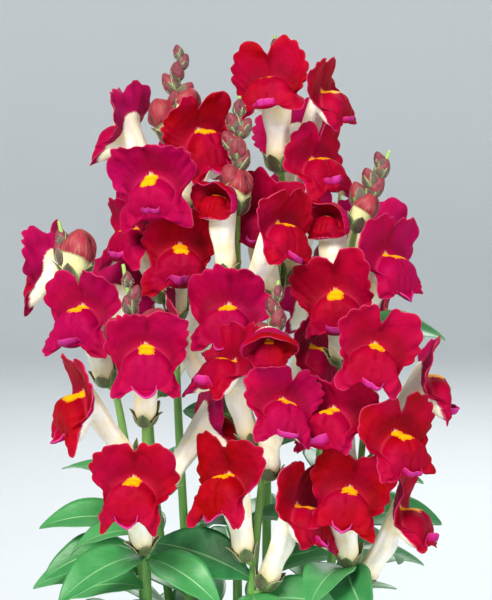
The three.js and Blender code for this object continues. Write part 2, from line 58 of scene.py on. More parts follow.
# ---- What grows where: the same lists as in the solids ----
# path: points of the stem from its foot in the soil to its tip.
# blooms: height of the joint on the stem, direction faced, tilt upwards, size, how far it is open.
# buds: height, direction, tilt upwards, length. leaves: height, direction, rise, length, roll.
# Directions are degrees round the stem: 0 faces -Y and 90 faces +X.
STEMS = {
    "back_left": {
        "path": [[-22, 10, 88], [-30, 14, 200], [-34, 15, 300], [-33, 15, 372], [-31, 12, 419]],
        "blooms": [
            [342, -117, 5, 0.99, 1], [340, 32, 7, 0.99, 1], [329, -14, -16, 1, 1],
            [297, -50, 6, 0.9, 1], [289, 6, 1, 0.98, 1], [334, 156, 2, 1.01, 1],
            [301, -166, 5, 1, 1],
        ],
        "buds": [
            [372, -60, 10, 26], [378, 62, 15, 24], [387, -10, 10, 13], [393, 75, 0, 12],
            [397, -95, 0, 12], [403, -20, 10, 10], [408, 70, 10, 9], [413, -70, 25, 8],
        ],
        "leaves": [
            [121, -81, 64, 53, 0], [137, 172, 51, 57, 0], [158, -120, 40, 52, 20],
            [182, 150, 35, 50, 0], [214, -100, 30, 46, 30],
        ],
    },
    "back_right": {
        "path": [
            [10, 20, 88], [10, 22, 200], [11, 22, 260], [17, 22, 345], [16, 20, 380],
            [13.6, 18, 425],
        ],
        "blooms": [
            [359, -19, 23, 1, 1], [361, 65, 9, 0.89, 1], [326, 41, 6, 0.99, 1],
            [298, -10, 8, 1.03, 1], [238, 57, 6, 0.99, 1], [338, 165, 0, 1, 1],
            [304, 146, 6, 0.98, 1],
        ],
        "buds": [
            [385, 120, 20, 13], [394, -140, 20, 11], [402, 20, 20, 10], [410, 150, 20, 9],
            [417, -40, 30, 7],
        ],
        "leaves": [
            [121, 31, 57, 55, -1], [142, 178, 45, 51, 0], [164, 80, 40, 50, -20],
            [190, 195, 35, 48, 0], [226, 110, 35, 42, -20],
        ],
    },
    "middle": {
        "path": [[-4, -8, 88], [-4, -12, 200], [-4, -14, 300], [-4, -14, 360], [-3, -14, 397]],
        "blooms": [
            [310, -39, 25, 0.94, 0], [301, 44, 1, 0.96, 1], [261, -9, 6, 0.98, 1],
            [248, -78, 0, 1, 1],
        ],
        "buds": [
            [340, 38, 30, 24], [347, -65, 20, 19], [362, 70, 10, 12], [366, 0, 15, 13],
            [371, -80, 0, 12], [377, 80, 5, 11], [380, -60, 5, 11], [387, 10, 25, 9],
        ],
        "leaves": [
            [124, 0, 60, 40, 0], [146, 120, 50, 42, 0], [179, -159, 42, 42, 26],
            [238, -115, 40, 38, 35], [202, -22, 30, 40, 10], [196, 58, 30, 40, -20],
        ],
    },
    "right": {
        "path": [
            [34, 2, 88], [42, 0, 200], [44, -2, 254], [46.5, -4, 301], [51, -6, 334],
            [59, -8, 352], [66.7, -10, 371.5],
        ],
        "blooms": [
            [299, -37, 26, 0.95, 0], [270, -6, -3, 1, 1], [284, 47, 3, 0.99, 1],
            [292, 155, 0, 1, 1],
        ],
        "buds": [
            [332, 62, 10, 22], [343, -80, 20, 15], [349, 75, 10, 13], [353, -50, 10, 12],
            [358, 70, 10, 11], [363, -60, 15, 9],
        ],
        "leaves": [
            [120, 120, 60, 56, 0], [136, 27, 50, 50, 0], [170, 105, 30, 52, -20],
            [194, 80, 25, 54, -35], [268, 98, 45, 48, -30], [283, 78, 25, 52, -25],
            [214, 62, 28, 44, -30],
        ],
    },
    "front_left": {
        "path": [
            [-38, -26, 88], [-45, -42, 160], [-46, -48, 250], [-50, -52, 290], [-55.5, -54, 322],
        ],
        "blooms": [
            [247, 3, 4, 1, 1], [227, -65, -4, 1, 1], [214, 101, -1, 0.99, 1], [188, -9, 0, 1, 1],
        ],
        "buds": [
            [277, -72, 0, 25], [279, 72, 10, 25], [287, 10, 15, 14], [298, -60, 15, 11],
            [303, 70, 15, 10], [311, -20, 30, 8],
        ],
        "leaves": [
            [122, -60, 60, 56, 0], [150, 12, 25, 48, 0], [172, -106, 10, 53, 31],
            [187, -42, 8, 52, 18], [186, 40, 2, 47, -32], [198, -100, 8, 44, 30],
            [166, 2, 4, 46, 8],
        ],
    },
    "front_middle": {
        "path": [
            [0, -36, 88], [2, -46, 160], [5, -52, 200], [8, -54, 230], [12, -56, 280],
            [14.6, -58, 315],
        ],
        "blooms": [
            [257, 0, 0, 0.89, 0], [223, 23, 9, 0.94, 1], [237, -57, 16, 0.95, 1],
            [185, -33, 13, 1, 1], [171, 58, 7, 1.01, 1],
        ],
        "buds": [
            [273, 44, 10, 21], [281, -70, 10, 17], [291, 40, 15, 12], [298, -60, 15, 10],
            [305, 40, 25, 8],
        ],
        "leaves": [
            [120, 20, 60, 54, 0], [152, -18, 25, 50, 0], [177, -93, 31, 56, 53],
            [167, 71, 12, 50, -46], [199, -130, 23, 41, 12], [170, 8, 0, 48, -12],
        ],
    },
    "left": {
        "path": [
            [-44, 0, 88], [-50, -8, 180], [-62, -14, 264], [-78, -18, 300], [-86.5, -20, 339.5],
        ],
        "blooms": [[281, -129, 2, 0.98, 1], [261, -30, 4, 1, 1], [262, 180, 0, 1, 1]],
        "buds": [[306, 60, 28, 30], [318, -70, 10, 13], [326, -110, 20, 10]],
        "leaves": [
            [122, -120, 60, 56, 0], [148, -50, 30, 52, 15], [172, -86, 15, 56, 30],
            [196, -72, 22, 48, 38], [212, -105, 42, 40, 20], [184, -62, 10, 48, 25],
        ],
    },
    "front_right": {
        "path": [[32, -28, 88], [44, -38, 160], [50, -42, 200], [53.6, -46, 244], [59, -48, 289]],
        "blooms": [
            [246, 7, 6, 1, 1], [218, -29, 5, 0.97, 1], [232, 92, 0, 1, 1], [209, 34, -2, 1, 1],
            [170, 70, 2, 1, 1], [181, -3, 5, 0.99, 1],
        ],
        "buds": [[262, -60, 20, 14], [270, 60, 20, 11], [278, -30, 20, 9]],
        "leaves": [
            [120, 60, 60, 56, 0], [156, -95, 20, 48, 35], [180, -23, 18, 50, 8],
            [179, -4, 5, 48, -29], [196, -83, 5, 45, 32], [190, 130, 7, 46, -35],
        ],
    },
    "rear_left": {
        "path": [[-28, 38, 88], [-44, 46, 200], [-50, 50, 290], [-54, 52, 345]],
        "blooms": [[282, 180, 0, 1, 1], [260, -115, 0, 1, 1], [248, 125, 0, 1, 1]],
        "buds": [[302, 60, 20, 22], [310, -60, 20, 16], [320, 180, 20, 12], [330, 60, 20, 9]],
        "leaves": [
            [120, 180, 60, 56, 0], [138, -110, 50, 52, 0], [158, 140, 40, 52, 0],
            [180, -150, 35, 50, 0], [210, 180, 35, 46, 0],
        ],
    },
    "rear_right": {
        "path": [[20, 42, 88], [34, 50, 200], [42, 54, 290], [46, 56, 350]],
        "blooms": [[282, 136, -1, 1, 1], [260, -170, 0, 1, 1], [254, 80, 0, 1, 1]],
        "buds": [[304, -60, 20, 22], [312, 60, 20, 16], [322, 180, 20, 12], [332, -60, 20, 9]],
        "leaves": [
            [120, 160, 60, 56, 0], [138, 90, 50, 52, 0], [158, -160, 40, 52, 0],
            [180, 120, 35, 50, 0], [210, 170, 35, 46, 0],
        ],
    },
}

# ---- Sizes of the plant's parts ----
STEM = {"foot_radius": 2.4, "tip_radius": 0.8, "step": 6, "sides": 10}
TUBE = {"length": 36, "rise": 58, "foot_radius": 4.1, "foot_length": 2.4}
THROAT = {"half_width": 8.2, "half_height": 8.8, "lift": 0.5}
PALATE = {"half_width": 9.6, "half_height": 8.4, "drop": 3.8, "front": 15.0, "groove": 1.0}
PEDICEL = {"reach": 6.5, "rise": 3.5, "neck": -2.0, "bed": 0.4, "sag": 0.9, "shade": 0.6,
           "radii": [1.0, 0.95, 1.0, 1.5, 2.6]}
LONG_BUD = 17  # a bud of this length or more shows its tube and its coloured cap
# fullness: half width at places from the foot to the tip, as a share of the widest.
LEAF = {"arch": 60, "width": 0.44, "keel": 0.3, "thickness": 0.012, "fullness": [
    (0, 0.16), (0.08, 0.26), (0.2, 0.66), (0.38, 0.98), (0.56, 0.96), (0.74, 0.7), (0.9, 0.34), (1, 0.05)]}
SEPALS = 5
# The calyx of a flower, in millimetres, and that of a small bud, for a bud of length 1: radius and
# height of a sepal's lower part, its half widths at even steps, and how far each kind flares or reaches.
CALYX = {"bowl": [(1.3, -2.2), (3.9, -0.8), (5.5, 1.4), (5.9, 3.9)],
         "half_widths": [1.2, 2.6, 3.5, 3.3, 2.2, 0.3], "flares": (0.2, 1.1, 2.0)}
BUD_CALYX = {"bowl": [(0.06, 0.02), (0.2, 0.1), (0.31, 0.26)],
             "half_widths": [0.09, 0.17, 0.235, 0.23, 0.15, 0.02], "reaches": (0.7, 0.85, 1.0)}
# Height and radius of a closed bud of length 1: a long one, and a knob at the tip.
LONG_PROFILE = [(0, 0.04), (0.1, 0.05), (0.14, 0.11), (0.2, 0.17), (0.35, 0.22), (0.5, 0.245),
                (0.6, 0.262), (0.7, 0.255), (0.8, 0.22), (0.88, 0.17), (0.95, 0.105), (1, 0.03)]
KNOB_PROFILE = [(0, 0.07), (0.1, 0.09), (0.18, 0.19), (0.3, 0.26), (0.45, 0.285), (0.6, 0.265),
                (0.75, 0.215), (0.88, 0.145), (0.96, 0.08), (1, 0.03)]
BUD_SIDES = 24
# Plant hairs, drawn thicker than in life so that they show: millimetres, and how many on a square metre.
HAIR = {"length": 1.0, "radius": 0.05, "on_sepals": 450000.0, "on_buds": 1100000.0}

# Edge of the lips of an open flower, from the cleft of the upper lip (0) to the middle lobe of the
# lower lip (180): the angle, then sideways, up and forward of the middle of the throat.
OPEN_EDGE = np.array([
    (0, 0, 19.6, 8.8), (6, 2.4, 20.6, 9.6), (15, 7.0, 21.6, 10.2), (28, 12.4, 20.4, 9.6),
    (42, 16.4, 17.0, 7.8), (58, 18.6, 11.0, 5.8), (75, 18.4, 4.4, 4.2), (91, 15.8, -1.0, 4.2),
    (103, 12.7, -4.3, 5.8), (115, 13.4, -8.0, 8.6), (127, 15.0, -12.4, 11.2), (138, 13.8, -15.8, 12.8),
    (148, 9.6, -15.4, 13.8), (158, 5.4, -11.4, 13.4), (168, 4.0, -14.4, 15.8), (180, 0, -16.4, 16.8),
])
# The same on a flower that is just opening, whose upper lip is still folded down as a hood.
HOODED_EDGE = np.array([
    (0, 0, 5.0, 16.5), (24, 7.0, 4.6, 16.0), (50, 13.0, 1.0, 12.0), (76, 13.0, -4.0, 7.0),
    (104, 9.8, -6.5, 3.0), (134, 7.8, -9.5, 5.0), (158, 3.6, -10.2, 6.5), (180, 0, -10.2, 7.5),
])
HOODED_PALATE = 0.62
PETAL_SIDES = 120
LIP_EDGE = 0.61  # place of the lips' edge on the way from the tube's foot (0) to the palate's front (1)
LIP_WAVES = {"height": 7.5, "per_metre": 120.0}
MAGENTA_LEAN = 0.62  # how far the pinkest flower's faces lean to magenta
FLUSH = {"bloom": 0.55, "long_bud": 0.9, "knob": 1.3}  # how far the sepals flush purple brown
LONG_BUD_CALYX = 0.042  # size of a long bud's calyx beside a flower's, for each millimetre of the bud
SEEDS = {"shapes": 7, "stems": 100, "blooms": 1000, "soil": 3, "crumbs": 5}


# ---- Small helpers ----

def sine(degrees):
    return np.sin(np.radians(degrees))


def cosine(degrees):
    return np.cos(np.radians(degrees))


def blend(low, high, share):
    return low + (high - low) * share


def ease(value):
    """Rises smoothly from 0 to 1 as the value goes from 0 to 1, and stays level outside."""
    t = np.clip(value, 0, 1)
    return t * t * (3 - 2 * t)


def bell(distance, width):
    """1 at no distance, and fading smoothly over the width."""
    return np.exp(-((distance / width) ** 2))


def linear(colour):
    """An sRGB hex colour as linear red, green, blue and alpha."""
    parts = [int(colour[i:i + 2], 16) / 255 for i in (1, 3, 5)]
    return [c / 12.92 if c <= 0.04045 else ((c + 0.055) / 1.055) ** 2.4 for c in parts] + [1.0]


def curve_through(knots, values, where):
    """The smooth curve through the values at the knots, read at one or more places."""
    knots = np.asarray(knots, float)
    values = np.asarray(values, float).reshape(len(knots), -1)
    where = np.atleast_1d(np.asarray(where, float))
    slopes = np.empty_like(values)
    slopes[1:-1] = (values[2:] - values[:-2]) / (knots[2:] - knots[:-2])[:, None]
    slopes[0] = (values[1] - values[0]) / (knots[1] - knots[0])
    slopes[-1] = (values[-1] - values[-2]) / (knots[-1] - knots[-2])
    i = np.clip(np.searchsorted(knots, where, side="right") - 1, 0, len(knots) - 2)
    span = (knots[i + 1] - knots[i])[:, None]
    t = (where - knots[i])[:, None] / span
    rise = values[i + 1] - values[i]
    a = span * slopes[i] - rise
    b = rise - span * slopes[i + 1]
    return values[i] + t * rise + t * (1 - t) * (a * (1 - t) + b * t)


def on_stem(path, height):
    """The point of a stem at a height."""
    x, y = curve_through([p[2] for p in path], [p[:2] for p in path], height)[0]
    return Vector((x, y, height))


def placing(origin, direction, tilt, size=1.0):
    """Where a part that grows from a stem stands: turned to its direction, tilted up and scaled."""
    turn = Matrix.Rotation(math.radians(direction), 4, "Z")
    lift = Matrix.Rotation(math.radians(-tilt), 4, "X")
    return Matrix.Translation(origin) @ turn @ lift @ Matrix.Scale(size, 4)


# From a part whose axis is +Z to the axis of a flower's tube, which rises forwards.
ALONG_TUBE = Matrix.Rotation(math.radians(90 - TUBE["rise"]), 4, "X")


def moved(points, matrix):
    """Points, put through a 4x4 matrix."""
    m = np.array(matrix)
    return np.asarray(points) @ m[:3, :3].T + m[:3, 3]


# ---- Meshes ----

def skin(rings, foot, tip, across=None, levels=None):
    """A closed skin over rings of points, drawn together at a foot point and a tip point. Returns its
    points, its faces and their UVs: U from across (one value more than a ring has), V from levels."""
    rows, sides = rings.shape[:2]
    across = np.linspace(0, 1, sides + 1) if across is None else np.asarray(across)
    levels = np.linspace(0, 1, rows) if levels is None else np.asarray(levels)
    here = np.arange(sides)
    after = (here + 1) % sides
    foot_index, tip_index = rows * sides, rows * sides + 1
    faces, uvs = [], []
    for row in range(rows - 1):
        low, high = row * sides, (row + 1) * sides
        faces += np.stack([low + here, low + after, high + after, high + here], axis=1).tolist()
        for side in range(sides):
            left, right = across[side], across[side + 1]
            uvs += [(left, levels[row]), (right, levels[row])]
            uvs += [(right, levels[row + 1]), (left, levels[row + 1])]
    last = (rows - 1) * sides
    for side in range(sides):
        middle = (across[side] + across[side + 1]) / 2
        faces.append([foot_index, after[side], here[side]])
        uvs += [(middle, levels[0]), (across[side + 1], levels[0]), (across[side], levels[0])]
        faces.append([last + here[side], last + after[side], tip_index])
        uvs += [(across[side], levels[-1]), (across[side + 1], levels[-1]), (middle, levels[-1])]
    return np.vstack([rings.reshape(-1, 3), foot, tip]), faces, uvs


def with_ends(values, foot=None, tip=None):
    """Numbers for the points of a skin: those of its rings, then those of its foot and tip."""
    values = np.asarray(values, float)
    foot = values[0].mean() if foot is None else foot
    tip = values[-1].mean() if tip is None else tip
    return np.concatenate([values.ravel(), [foot, tip]])


def new_piece(name, points, faces, uvs=None, material=None, edges=(), **layers):
    """A mesh object from points in millimetres, with its UVs and with layers of numbers on its points."""
    mesh = bpy.data.meshes.new(name)
    mesh.from_pydata((np.asarray(points, float) * MM).tolist(), edges, faces)
    if uvs:
        mesh.uv_layers.new(name="UVMap").data.foreach_set("uv", np.asarray(uvs, np.float32).ravel())
    for layer, values in layers.items():
        values = np.asarray(values, np.float32)
        kind = "FLOAT_VECTOR" if values.ndim == 2 else "FLOAT"
        key = "vector" if values.ndim == 2 else "value"
        mesh.attributes.new(layer, kind, "POINT").data.foreach_set(key, values.ravel())
    if faces:
        mesh.polygons.foreach_set("use_smooth", [True] * len(faces))
    if material:
        mesh.materials.append(material)
    piece = bpy.data.objects.new(name, mesh)
    bpy.context.scene.collection.objects.link(piece)
    return piece


def belongs(piece, solid):
    """Ties a finished piece to the frame, and hides the solid that it stands for."""
    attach(piece, "root")
    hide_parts(solid)


# ---- Nodes ----

def source(value):
    """What feeds an input: the first output in use of a node, or the socket or value itself."""
    if isinstance(value, bpy.types.Node):
        return next(socket for socket in value.outputs if socket.enabled)
    return value


def node(tree, kind, inputs=(), **settings):
    """Adds a node with its settings. Its inputs are given by name, or as a list from the first one in
    use on, and each gets a value, or the node or output socket that feeds it."""
    made = tree.nodes.new(kind)
    for name, value in settings.items():
        setattr(made, name, value)
    if not isinstance(inputs, dict):
        in_use = [place for place, socket in enumerate(made.inputs) if socket.enabled]
        inputs = dict(zip(in_use, inputs))
    for key, value in inputs.items():
        value, target = source(value), made.inputs[key]
        if isinstance(value, bpy.types.NodeSocket):
            tree.links.new(value, target)
        else:
            target.default_value = value
    return made


def new_tree(name, **inputs):
    """A Geometry Nodes tree with geometry in and out and the named inputs, and its input sockets."""
    tree = bpy.data.node_groups.new(name, "GeometryNodeTree")
    tree.interface.new_socket("Geometry", in_out="INPUT", socket_type="NodeSocketGeometry")
    for label, kind in {**inputs, "Material": "Material"}.items():
        tree.interface.new_socket(
            label.replace("_", " "), in_out="INPUT", socket_type="NodeSocket" + kind)
    tree.interface.new_socket("Geometry", in_out="OUTPUT", socket_type="NodeSocketGeometry")
    return tree, node(tree, "NodeGroupInput").outputs


def closed_tree(tree, given, shape):
    """Ends a tree with its shape made real and given the material."""
    real = node(tree, "GeometryNodeRealizeInstances", {"Geometry": shape})
    painted = node(tree, "GeometryNodeSetMaterial", {"Geometry": real, "Material": given["Material"]})
    node(tree, "NodeGroupOutput", {"Geometry": painted})
    return tree


def run_tree(piece, tree, **values):
    """Runs a tree on a piece with its inputs set, and keeps the result as the piece's plain mesh."""
    modifier = piece.modifiers.new(tree.name, "NODES")
    modifier.node_group = tree
    for item in tree.interface.items_tree:
        label = item.name.replace(" ", "_").lower()
        if item.in_out == "INPUT" and label in values:
            modifier[item.identifier] = values[label]
    graph = bpy.context.evaluated_depsgraph_get()
    made = bpy.data.meshes.new_from_object(
        piece.evaluated_get(graph), preserve_all_data_layers=True, depsgraph=graph)
    piece.modifiers.remove(modifier)
    piece.data = made
    return piece


def growth_tree():
    """Sets one of a collection's shapes on each point, by the points' turn and size."""
    tree, given = new_tree("set shapes on points", Shapes="Collection", Size_Spread="Float",
                           Turn_Spread="Float", Seed="Int")
    seed = given["Seed"]
    shapes = node(tree, "GeometryNodeCollectionInfo", {
        "Collection": given["Shapes"], "Separate Children": True, "Reset Children": True})
    turn = node(tree, "GeometryNodeInputNamedAttribute", ["turn"], data_type="FLOAT_VECTOR")
    size = node(tree, "GeometryNodeInputNamedAttribute", ["size"], data_type="FLOAT")
    pick = node(tree, "FunctionNodeRandomValue", {"Min": 0, "Max": 99, "Seed": seed}, data_type="INT")
    euler = node(tree, "FunctionNodeEulerToRotation", [turn])
    placed = node(tree, "GeometryNodeInstanceOnPoints", {
        "Points": given["Geometry"], "Instance": shapes, "Pick Instance": True,
        "Instance Index": pick, "Rotation": euler, "Scale": size})
    lowest = node(tree, "ShaderNodeMath", [1.0, given["Size Spread"]], operation="SUBTRACT")
    highest = node(tree, "ShaderNodeMath", [1.0, given["Size Spread"]], operation="ADD")
    swell = node(tree, "FunctionNodeRandomValue", {"Min": lowest, "Max": highest, "Seed": seed},
                 data_type="FLOAT")
    scaled = node(tree, "GeometryNodeScaleInstances", {"Instances": placed, "Scale": swell})
    back = node(tree, "ShaderNodeMath", [given["Turn Spread"], -1.0], operation="MULTIPLY")
    twist = node(tree, "FunctionNodeRandomValue", {
        "Min": back, "Max": given["Turn Spread"], "Seed": seed}, data_type="FLOAT")
    euler = node(tree, "ShaderNodeCombineXYZ", {"Y": twist})
    turned = node(tree, "GeometryNodeRotateInstances", {"Instances": scaled, "Rotation": euler})
    return closed_tree(tree, given, turned)


def rod_tree():
    """Draws a round rod along each line of edges, as thick as the points' thickness says."""
    tree, given = new_tree("rod along a path", Sides="Int")
    line = node(tree, "GeometryNodeMeshToCurve", {"Mesh": given["Geometry"]})
    thick = node(tree, "GeometryNodeInputNamedAttribute", ["thickness"], data_type="FLOAT")
    circle = node(tree, "GeometryNodeCurvePrimitiveCircle", {"Resolution": given["Sides"], "Radius": 1.0})
    rod = node(tree, "GeometryNodeCurveToMesh", {
        "Curve": line, "Profile Curve": circle, "Scale": thick, "Fill Caps": True})
    smooth = node(tree, "GeometryNodeSetShadeSmooth", {"Geometry": rod})
    return closed_tree(tree, given, smooth)


def ruffle_tree():
    """Waves the lips of a flower to and fro along their lean, by a seeded noise."""
    tree, given = new_tree("ruffled lips", Height="Float", Waves_Per_Metre="Float", Seed="Float")
    lean = node(tree, "GeometryNodeInputNamedAttribute", ["lean"], data_type="FLOAT_VECTOR")
    noise = node(tree, "ShaderNodeTexNoise", {
        "W": given["Seed"], "Scale": given["Waves Per Metre"], "Detail": 1.0}, noise_dimensions="4D")
    wave = node(tree, "ShaderNodeMath", [noise, 0.5], operation="SUBTRACT")
    high = node(tree, "ShaderNodeMath", [wave, given["Height"]], operation="MULTIPLY")
    offset = node(tree, "ShaderNodeVectorMath", [lean, high], operation="SCALE")
    waved = node(tree, "GeometryNodeSetPosition", {"Geometry": given["Geometry"], "Offset": offset})
    return closed_tree(tree, given, waved)


def down_tree():
    """Short hairs that stand on a skin, three sided and pointed."""
    tree, given = new_tree("down on a skin", Hair_Length="Float", Hair_Radius="Float",
                           Per_Square_Metre="Float", Seed="Int")
    seed = given["Seed"]
    spots = node(tree, "GeometryNodeDistributePointsOnFaces", {
        "Mesh": given["Geometry"], "Density": given["Per Square Metre"], "Seed": seed})
    hair = node(tree, "GeometryNodeMeshCone", {
        "Vertices": 3, "Radius Top": 0.0, "Radius Bottom": given["Hair Radius"],
        "Depth": given["Hair Length"]})
    swell = node(tree, "FunctionNodeRandomValue", {"Min": 0.5, "Max": 1.2, "Seed": seed},
                 data_type="FLOAT")
    placed = node(tree, "GeometryNodeInstanceOnPoints", {
        "Points": spots, "Instance": hair, "Rotation": spots.outputs["Rotation"], "Scale": swell})
    tilt = node(tree, "FunctionNodeRandomValue", {
        "Min": (-0.5, -0.5, 0), "Max": (0.5, 0.5, 0), "Seed": seed}, data_type="FLOAT_VECTOR")
    leaning = node(tree, "GeometryNodeRotateInstances", {"Instances": placed, "Rotation": tilt})
    return closed_tree(tree, given, leaning)


def crumb_tree():
    """Scatters rough crumbs over the faces whose bed is 1."""
    tree, given = new_tree("crumbs on a bed", Crumb_Size="Float", Per_Square_Metre="Float", Seed="Int")
    seed = given["Seed"]
    bed = node(tree, "GeometryNodeInputNamedAttribute", ["bed"], data_type="FLOAT")
    count = node(tree, "ShaderNodeMath", [bed, given["Per Square Metre"]], operation="MULTIPLY")
    spots = node(tree, "GeometryNodeDistributePointsOnFaces", {
        "Mesh": given["Geometry"], "Density": count, "Seed": seed})
    crumb = node(tree, "GeometryNodeMeshIcoSphere", {"Radius": given["Crumb Size"], "Subdivisions": 1})
    swell = node(tree, "FunctionNodeRandomValue", {
        "Min": (0.35, 0.35, 0.25), "Max": (1.5, 1.2, 1.0), "Seed": seed}, data_type="FLOAT_VECTOR")
    turn = node(tree, "FunctionNodeRandomValue", {
        "Min": (0, 0, 0), "Max": (math.tau,) * 3, "Seed": seed}, data_type="FLOAT_VECTOR")
    shade = node(tree, "FunctionNodeRandomValue", {"Min": 0.0, "Max": 1.0, "Seed": seed},
                 data_type="FLOAT")
    noted = node(tree, "GeometryNodeStoreNamedAttribute", {
        "Geometry": spots, "Name": "shade", "Value": shade}, data_type="FLOAT", domain="POINT")
    placed = node(tree, "GeometryNodeInstanceOnPoints", {
        "Points": noted, "Instance": crumb, "Rotation": turn, "Scale": swell})
    return closed_tree(tree, given, placed)


# ---- Materials ----

def surface(name, **sockets):
    """A new material with the given sockets of its Principled shader set, its node tree, and the places
    on a piece that its patterns read."""
    made = bpy.data.materials.new(name)
    made.use_nodes = True
    tree = made.node_tree
    for socket, value in sockets.items():
        tree.nodes["Principled BSDF"].inputs[socket.replace("_", " ")].default_value = value
    return made, tree, node(tree, "ShaderNodeTexCoord").outputs


def finished(made, colour, height=None, strength=0.0, depth=0.0):
    """The material with its colour, and with a relief whose full height is depth, in metres."""
    tree = made.node_tree
    sockets = tree.nodes["Principled BSDF"].inputs
    tree.links.new(source(colour), sockets["Base Color"])
    if height is not None:
        bump = node(tree, "ShaderNodeBump", {"Strength": strength, "Distance": depth, "Height": height})
        tree.links.new(source(bump), sockets["Normal"])
    return made


def petal():
    """Snapdragon petal: velvety crimson faces over magenta backs, a thin pink edge, a yellow spot on the
    palate, and a cream white tube. Its tiny cone cells swallow gloss and leave a soft red sheen."""
    made, tree, place = surface(
        "snapdragon petal", Roughness=0.6, Sheen_Weight=0.03, Sheen_Roughness=0.4,
        Sheen_Tint=linear("#FF1038"), Specular_IOR_Level=0.05, Subsurface_Weight=0.06,
        Subsurface_Scale=0.002, Subsurface_Radius=(1.0, 0.3, 0.2))
    pigment, face, margin, yolk, foot, tip, crease, shade = [
        node(tree, "ShaderNodeAttribute", attribute_name=layer).outputs["Fac"]
        for layer in ("pigment", "face", "margin", "yolk", "foot", "tip", "crease", "shade")]
    # Veins run from the foot to the edge, about 0.8 mm apart at the throat.
    along = node(tree, "ShaderNodeMapping", {"Vector": place["UV"], "Scale": (34, 2.2, 1)})
    veins = node(tree, "ShaderNodeTexNoise", {"Vector": along, "Scale": 2.0, "Detail": 2.0})
    # Soft patches a centimetre wide, and a grain of 0.5 mm for the velvet.
    patch = node(tree, "ShaderNodeTexNoise", {"Vector": place["Object"], "Scale": 95.0, "Detail": 2.0})
    grain = node(tree, "ShaderNodeTexNoise", {"Vector": place["Object"], "Scale": 2000.0, "Detail": 1.0})
    cream = node(tree, "ShaderNodeMapRange", [patch, 0.42, 0.68, 0.0, 0.75])
    cream = node(tree, "ShaderNodeMath", [cream, foot], operation="MAXIMUM")
    tube = node(tree, "ShaderNodeMix", [cream, linear("#FBF8F0"), linear("#F3E2A6")], data_type="RGBA")
    vein = node(tree, "ShaderNodeMapRange", [veins, 0.5, 0.72, 0.0, 0.3])
    tube = node(tree, "ShaderNodeMix", [vein, tube, linear("#EFD9AC")], data_type="RGBA")
    back = node(tree, "ShaderNodeMix", [patch, linear("#940030"), linear("#AC0C5C")], data_type="RGBA")
    deep = node(tree, "ShaderNodeMapRange", [patch, 0.38, 0.62])
    front = node(tree, "ShaderNodeMix", [deep, linear("#900004"), linear("#A40016")], data_type="RGBA")
    # Some flowers, and areas 2 cm wide on each, lean to magenta.
    drift = node(tree, "ShaderNodeTexNoise", {"Vector": place["Object"], "Scale": 42.0, "Detail": 1.0})
    drift = node(tree, "ShaderNodeMapRange", [drift, 0.42, 0.66, 0.0, 0.28])
    lean = node(tree, "ShaderNodeMath", [shade, drift], operation="ADD", use_clamp=True)
    front = node(tree, "ShaderNodeMix", [lean, front, linear("#A40052")], data_type="RGBA")
    speck = node(tree, "ShaderNodeMapRange", [grain, 0.35, 0.65, 0.0, 0.3])
    front = node(tree, "ShaderNodeMix", [speck, front, linear("#78000A")], data_type="RGBA")
    # Painted shade: the faces turn deep red in the cleft, the furrows and the hollow under the upper lip.
    dark = node(tree, "ShaderNodeMath", [crease, 0.55], operation="MULTIPLY")
    front = node(tree, "ShaderNodeMix", [dark, front, linear("#5C0010")], data_type="RGBA")
    lips = node(tree, "ShaderNodeMix", [face, back, front], data_type="RGBA")
    lips = node(tree, "ShaderNodeMix", [tip, lips, linear("#BC3490")], data_type="RGBA")
    thin = node(tree, "ShaderNodeMath", [margin, 0.4], operation="MULTIPLY")
    lips = node(tree, "ShaderNodeMix", [thin, lips, linear("#E4587C")], data_type="RGBA")
    # The colour runs down into the tube along the veins.
    run = node(tree, "ShaderNodeMath", [veins, 0.7, -0.35], operation="MULTIPLY_ADD")
    run = node(tree, "ShaderNodeMath", [run, pigment], operation="ADD")
    run = node(tree, "ShaderNodeMapRange", [run, 0.25, 0.75], interpolation_type="SMOOTHSTEP")
    colour = node(tree, "ShaderNodeMix", [run, tube, lips], data_type="RGBA")
    # The spot's edge is ragged, with spikes a millimetre long.
    ragged = node(tree, "ShaderNodeTexNoise", {"Vector": place["Object"], "Scale": 520.0, "Detail": 2.0})
    ragged = node(tree, "ShaderNodeMath", [ragged, 2.6, -0.3], operation="MULTIPLY_ADD")
    spot = node(tree, "ShaderNodeMath", [yolk, ragged], operation="MULTIPLY")
    spot = node(tree, "ShaderNodeMapRange", [spot, 0.36, 0.5])
    gold = node(tree, "ShaderNodeMix", [yolk, linear("#E85C00"), linear("#FFB20A")], data_type="RGBA")
    colour = node(tree, "ShaderNodeMix", [spot, colour, gold], data_type="RGBA")
    # The relief: veins that fade out on the palate, which is smooth, and the grain of the velvet. The
    # thin blades also crumple softly, in folds about 4 mm apart.
    level = node(tree, "ShaderNodeSeparateXYZ", [place["UV"]]).outputs["Y"]
    fade = node(tree, "ShaderNodeMapRange", [level, 0.8, 0.88, 1.0, 0.0])
    relief = node(tree, "ShaderNodeMath", [veins, fade], operation="MULTIPLY")
    relief = node(tree, "ShaderNodeMath", [grain, 0.25, relief], operation="MULTIPLY_ADD")
    crumple = node(tree, "ShaderNodeTexNoise", {
        "Vector": place["Object"], "Scale": 230.0, "Detail": 1.0, "Distortion": 0.8})
    relief = node(tree, "ShaderNodeMath", [crumple, 1.8, relief], operation="MULTIPLY_ADD")
    return finished(made, colour, relief, strength=0.5, depth=0.0004)


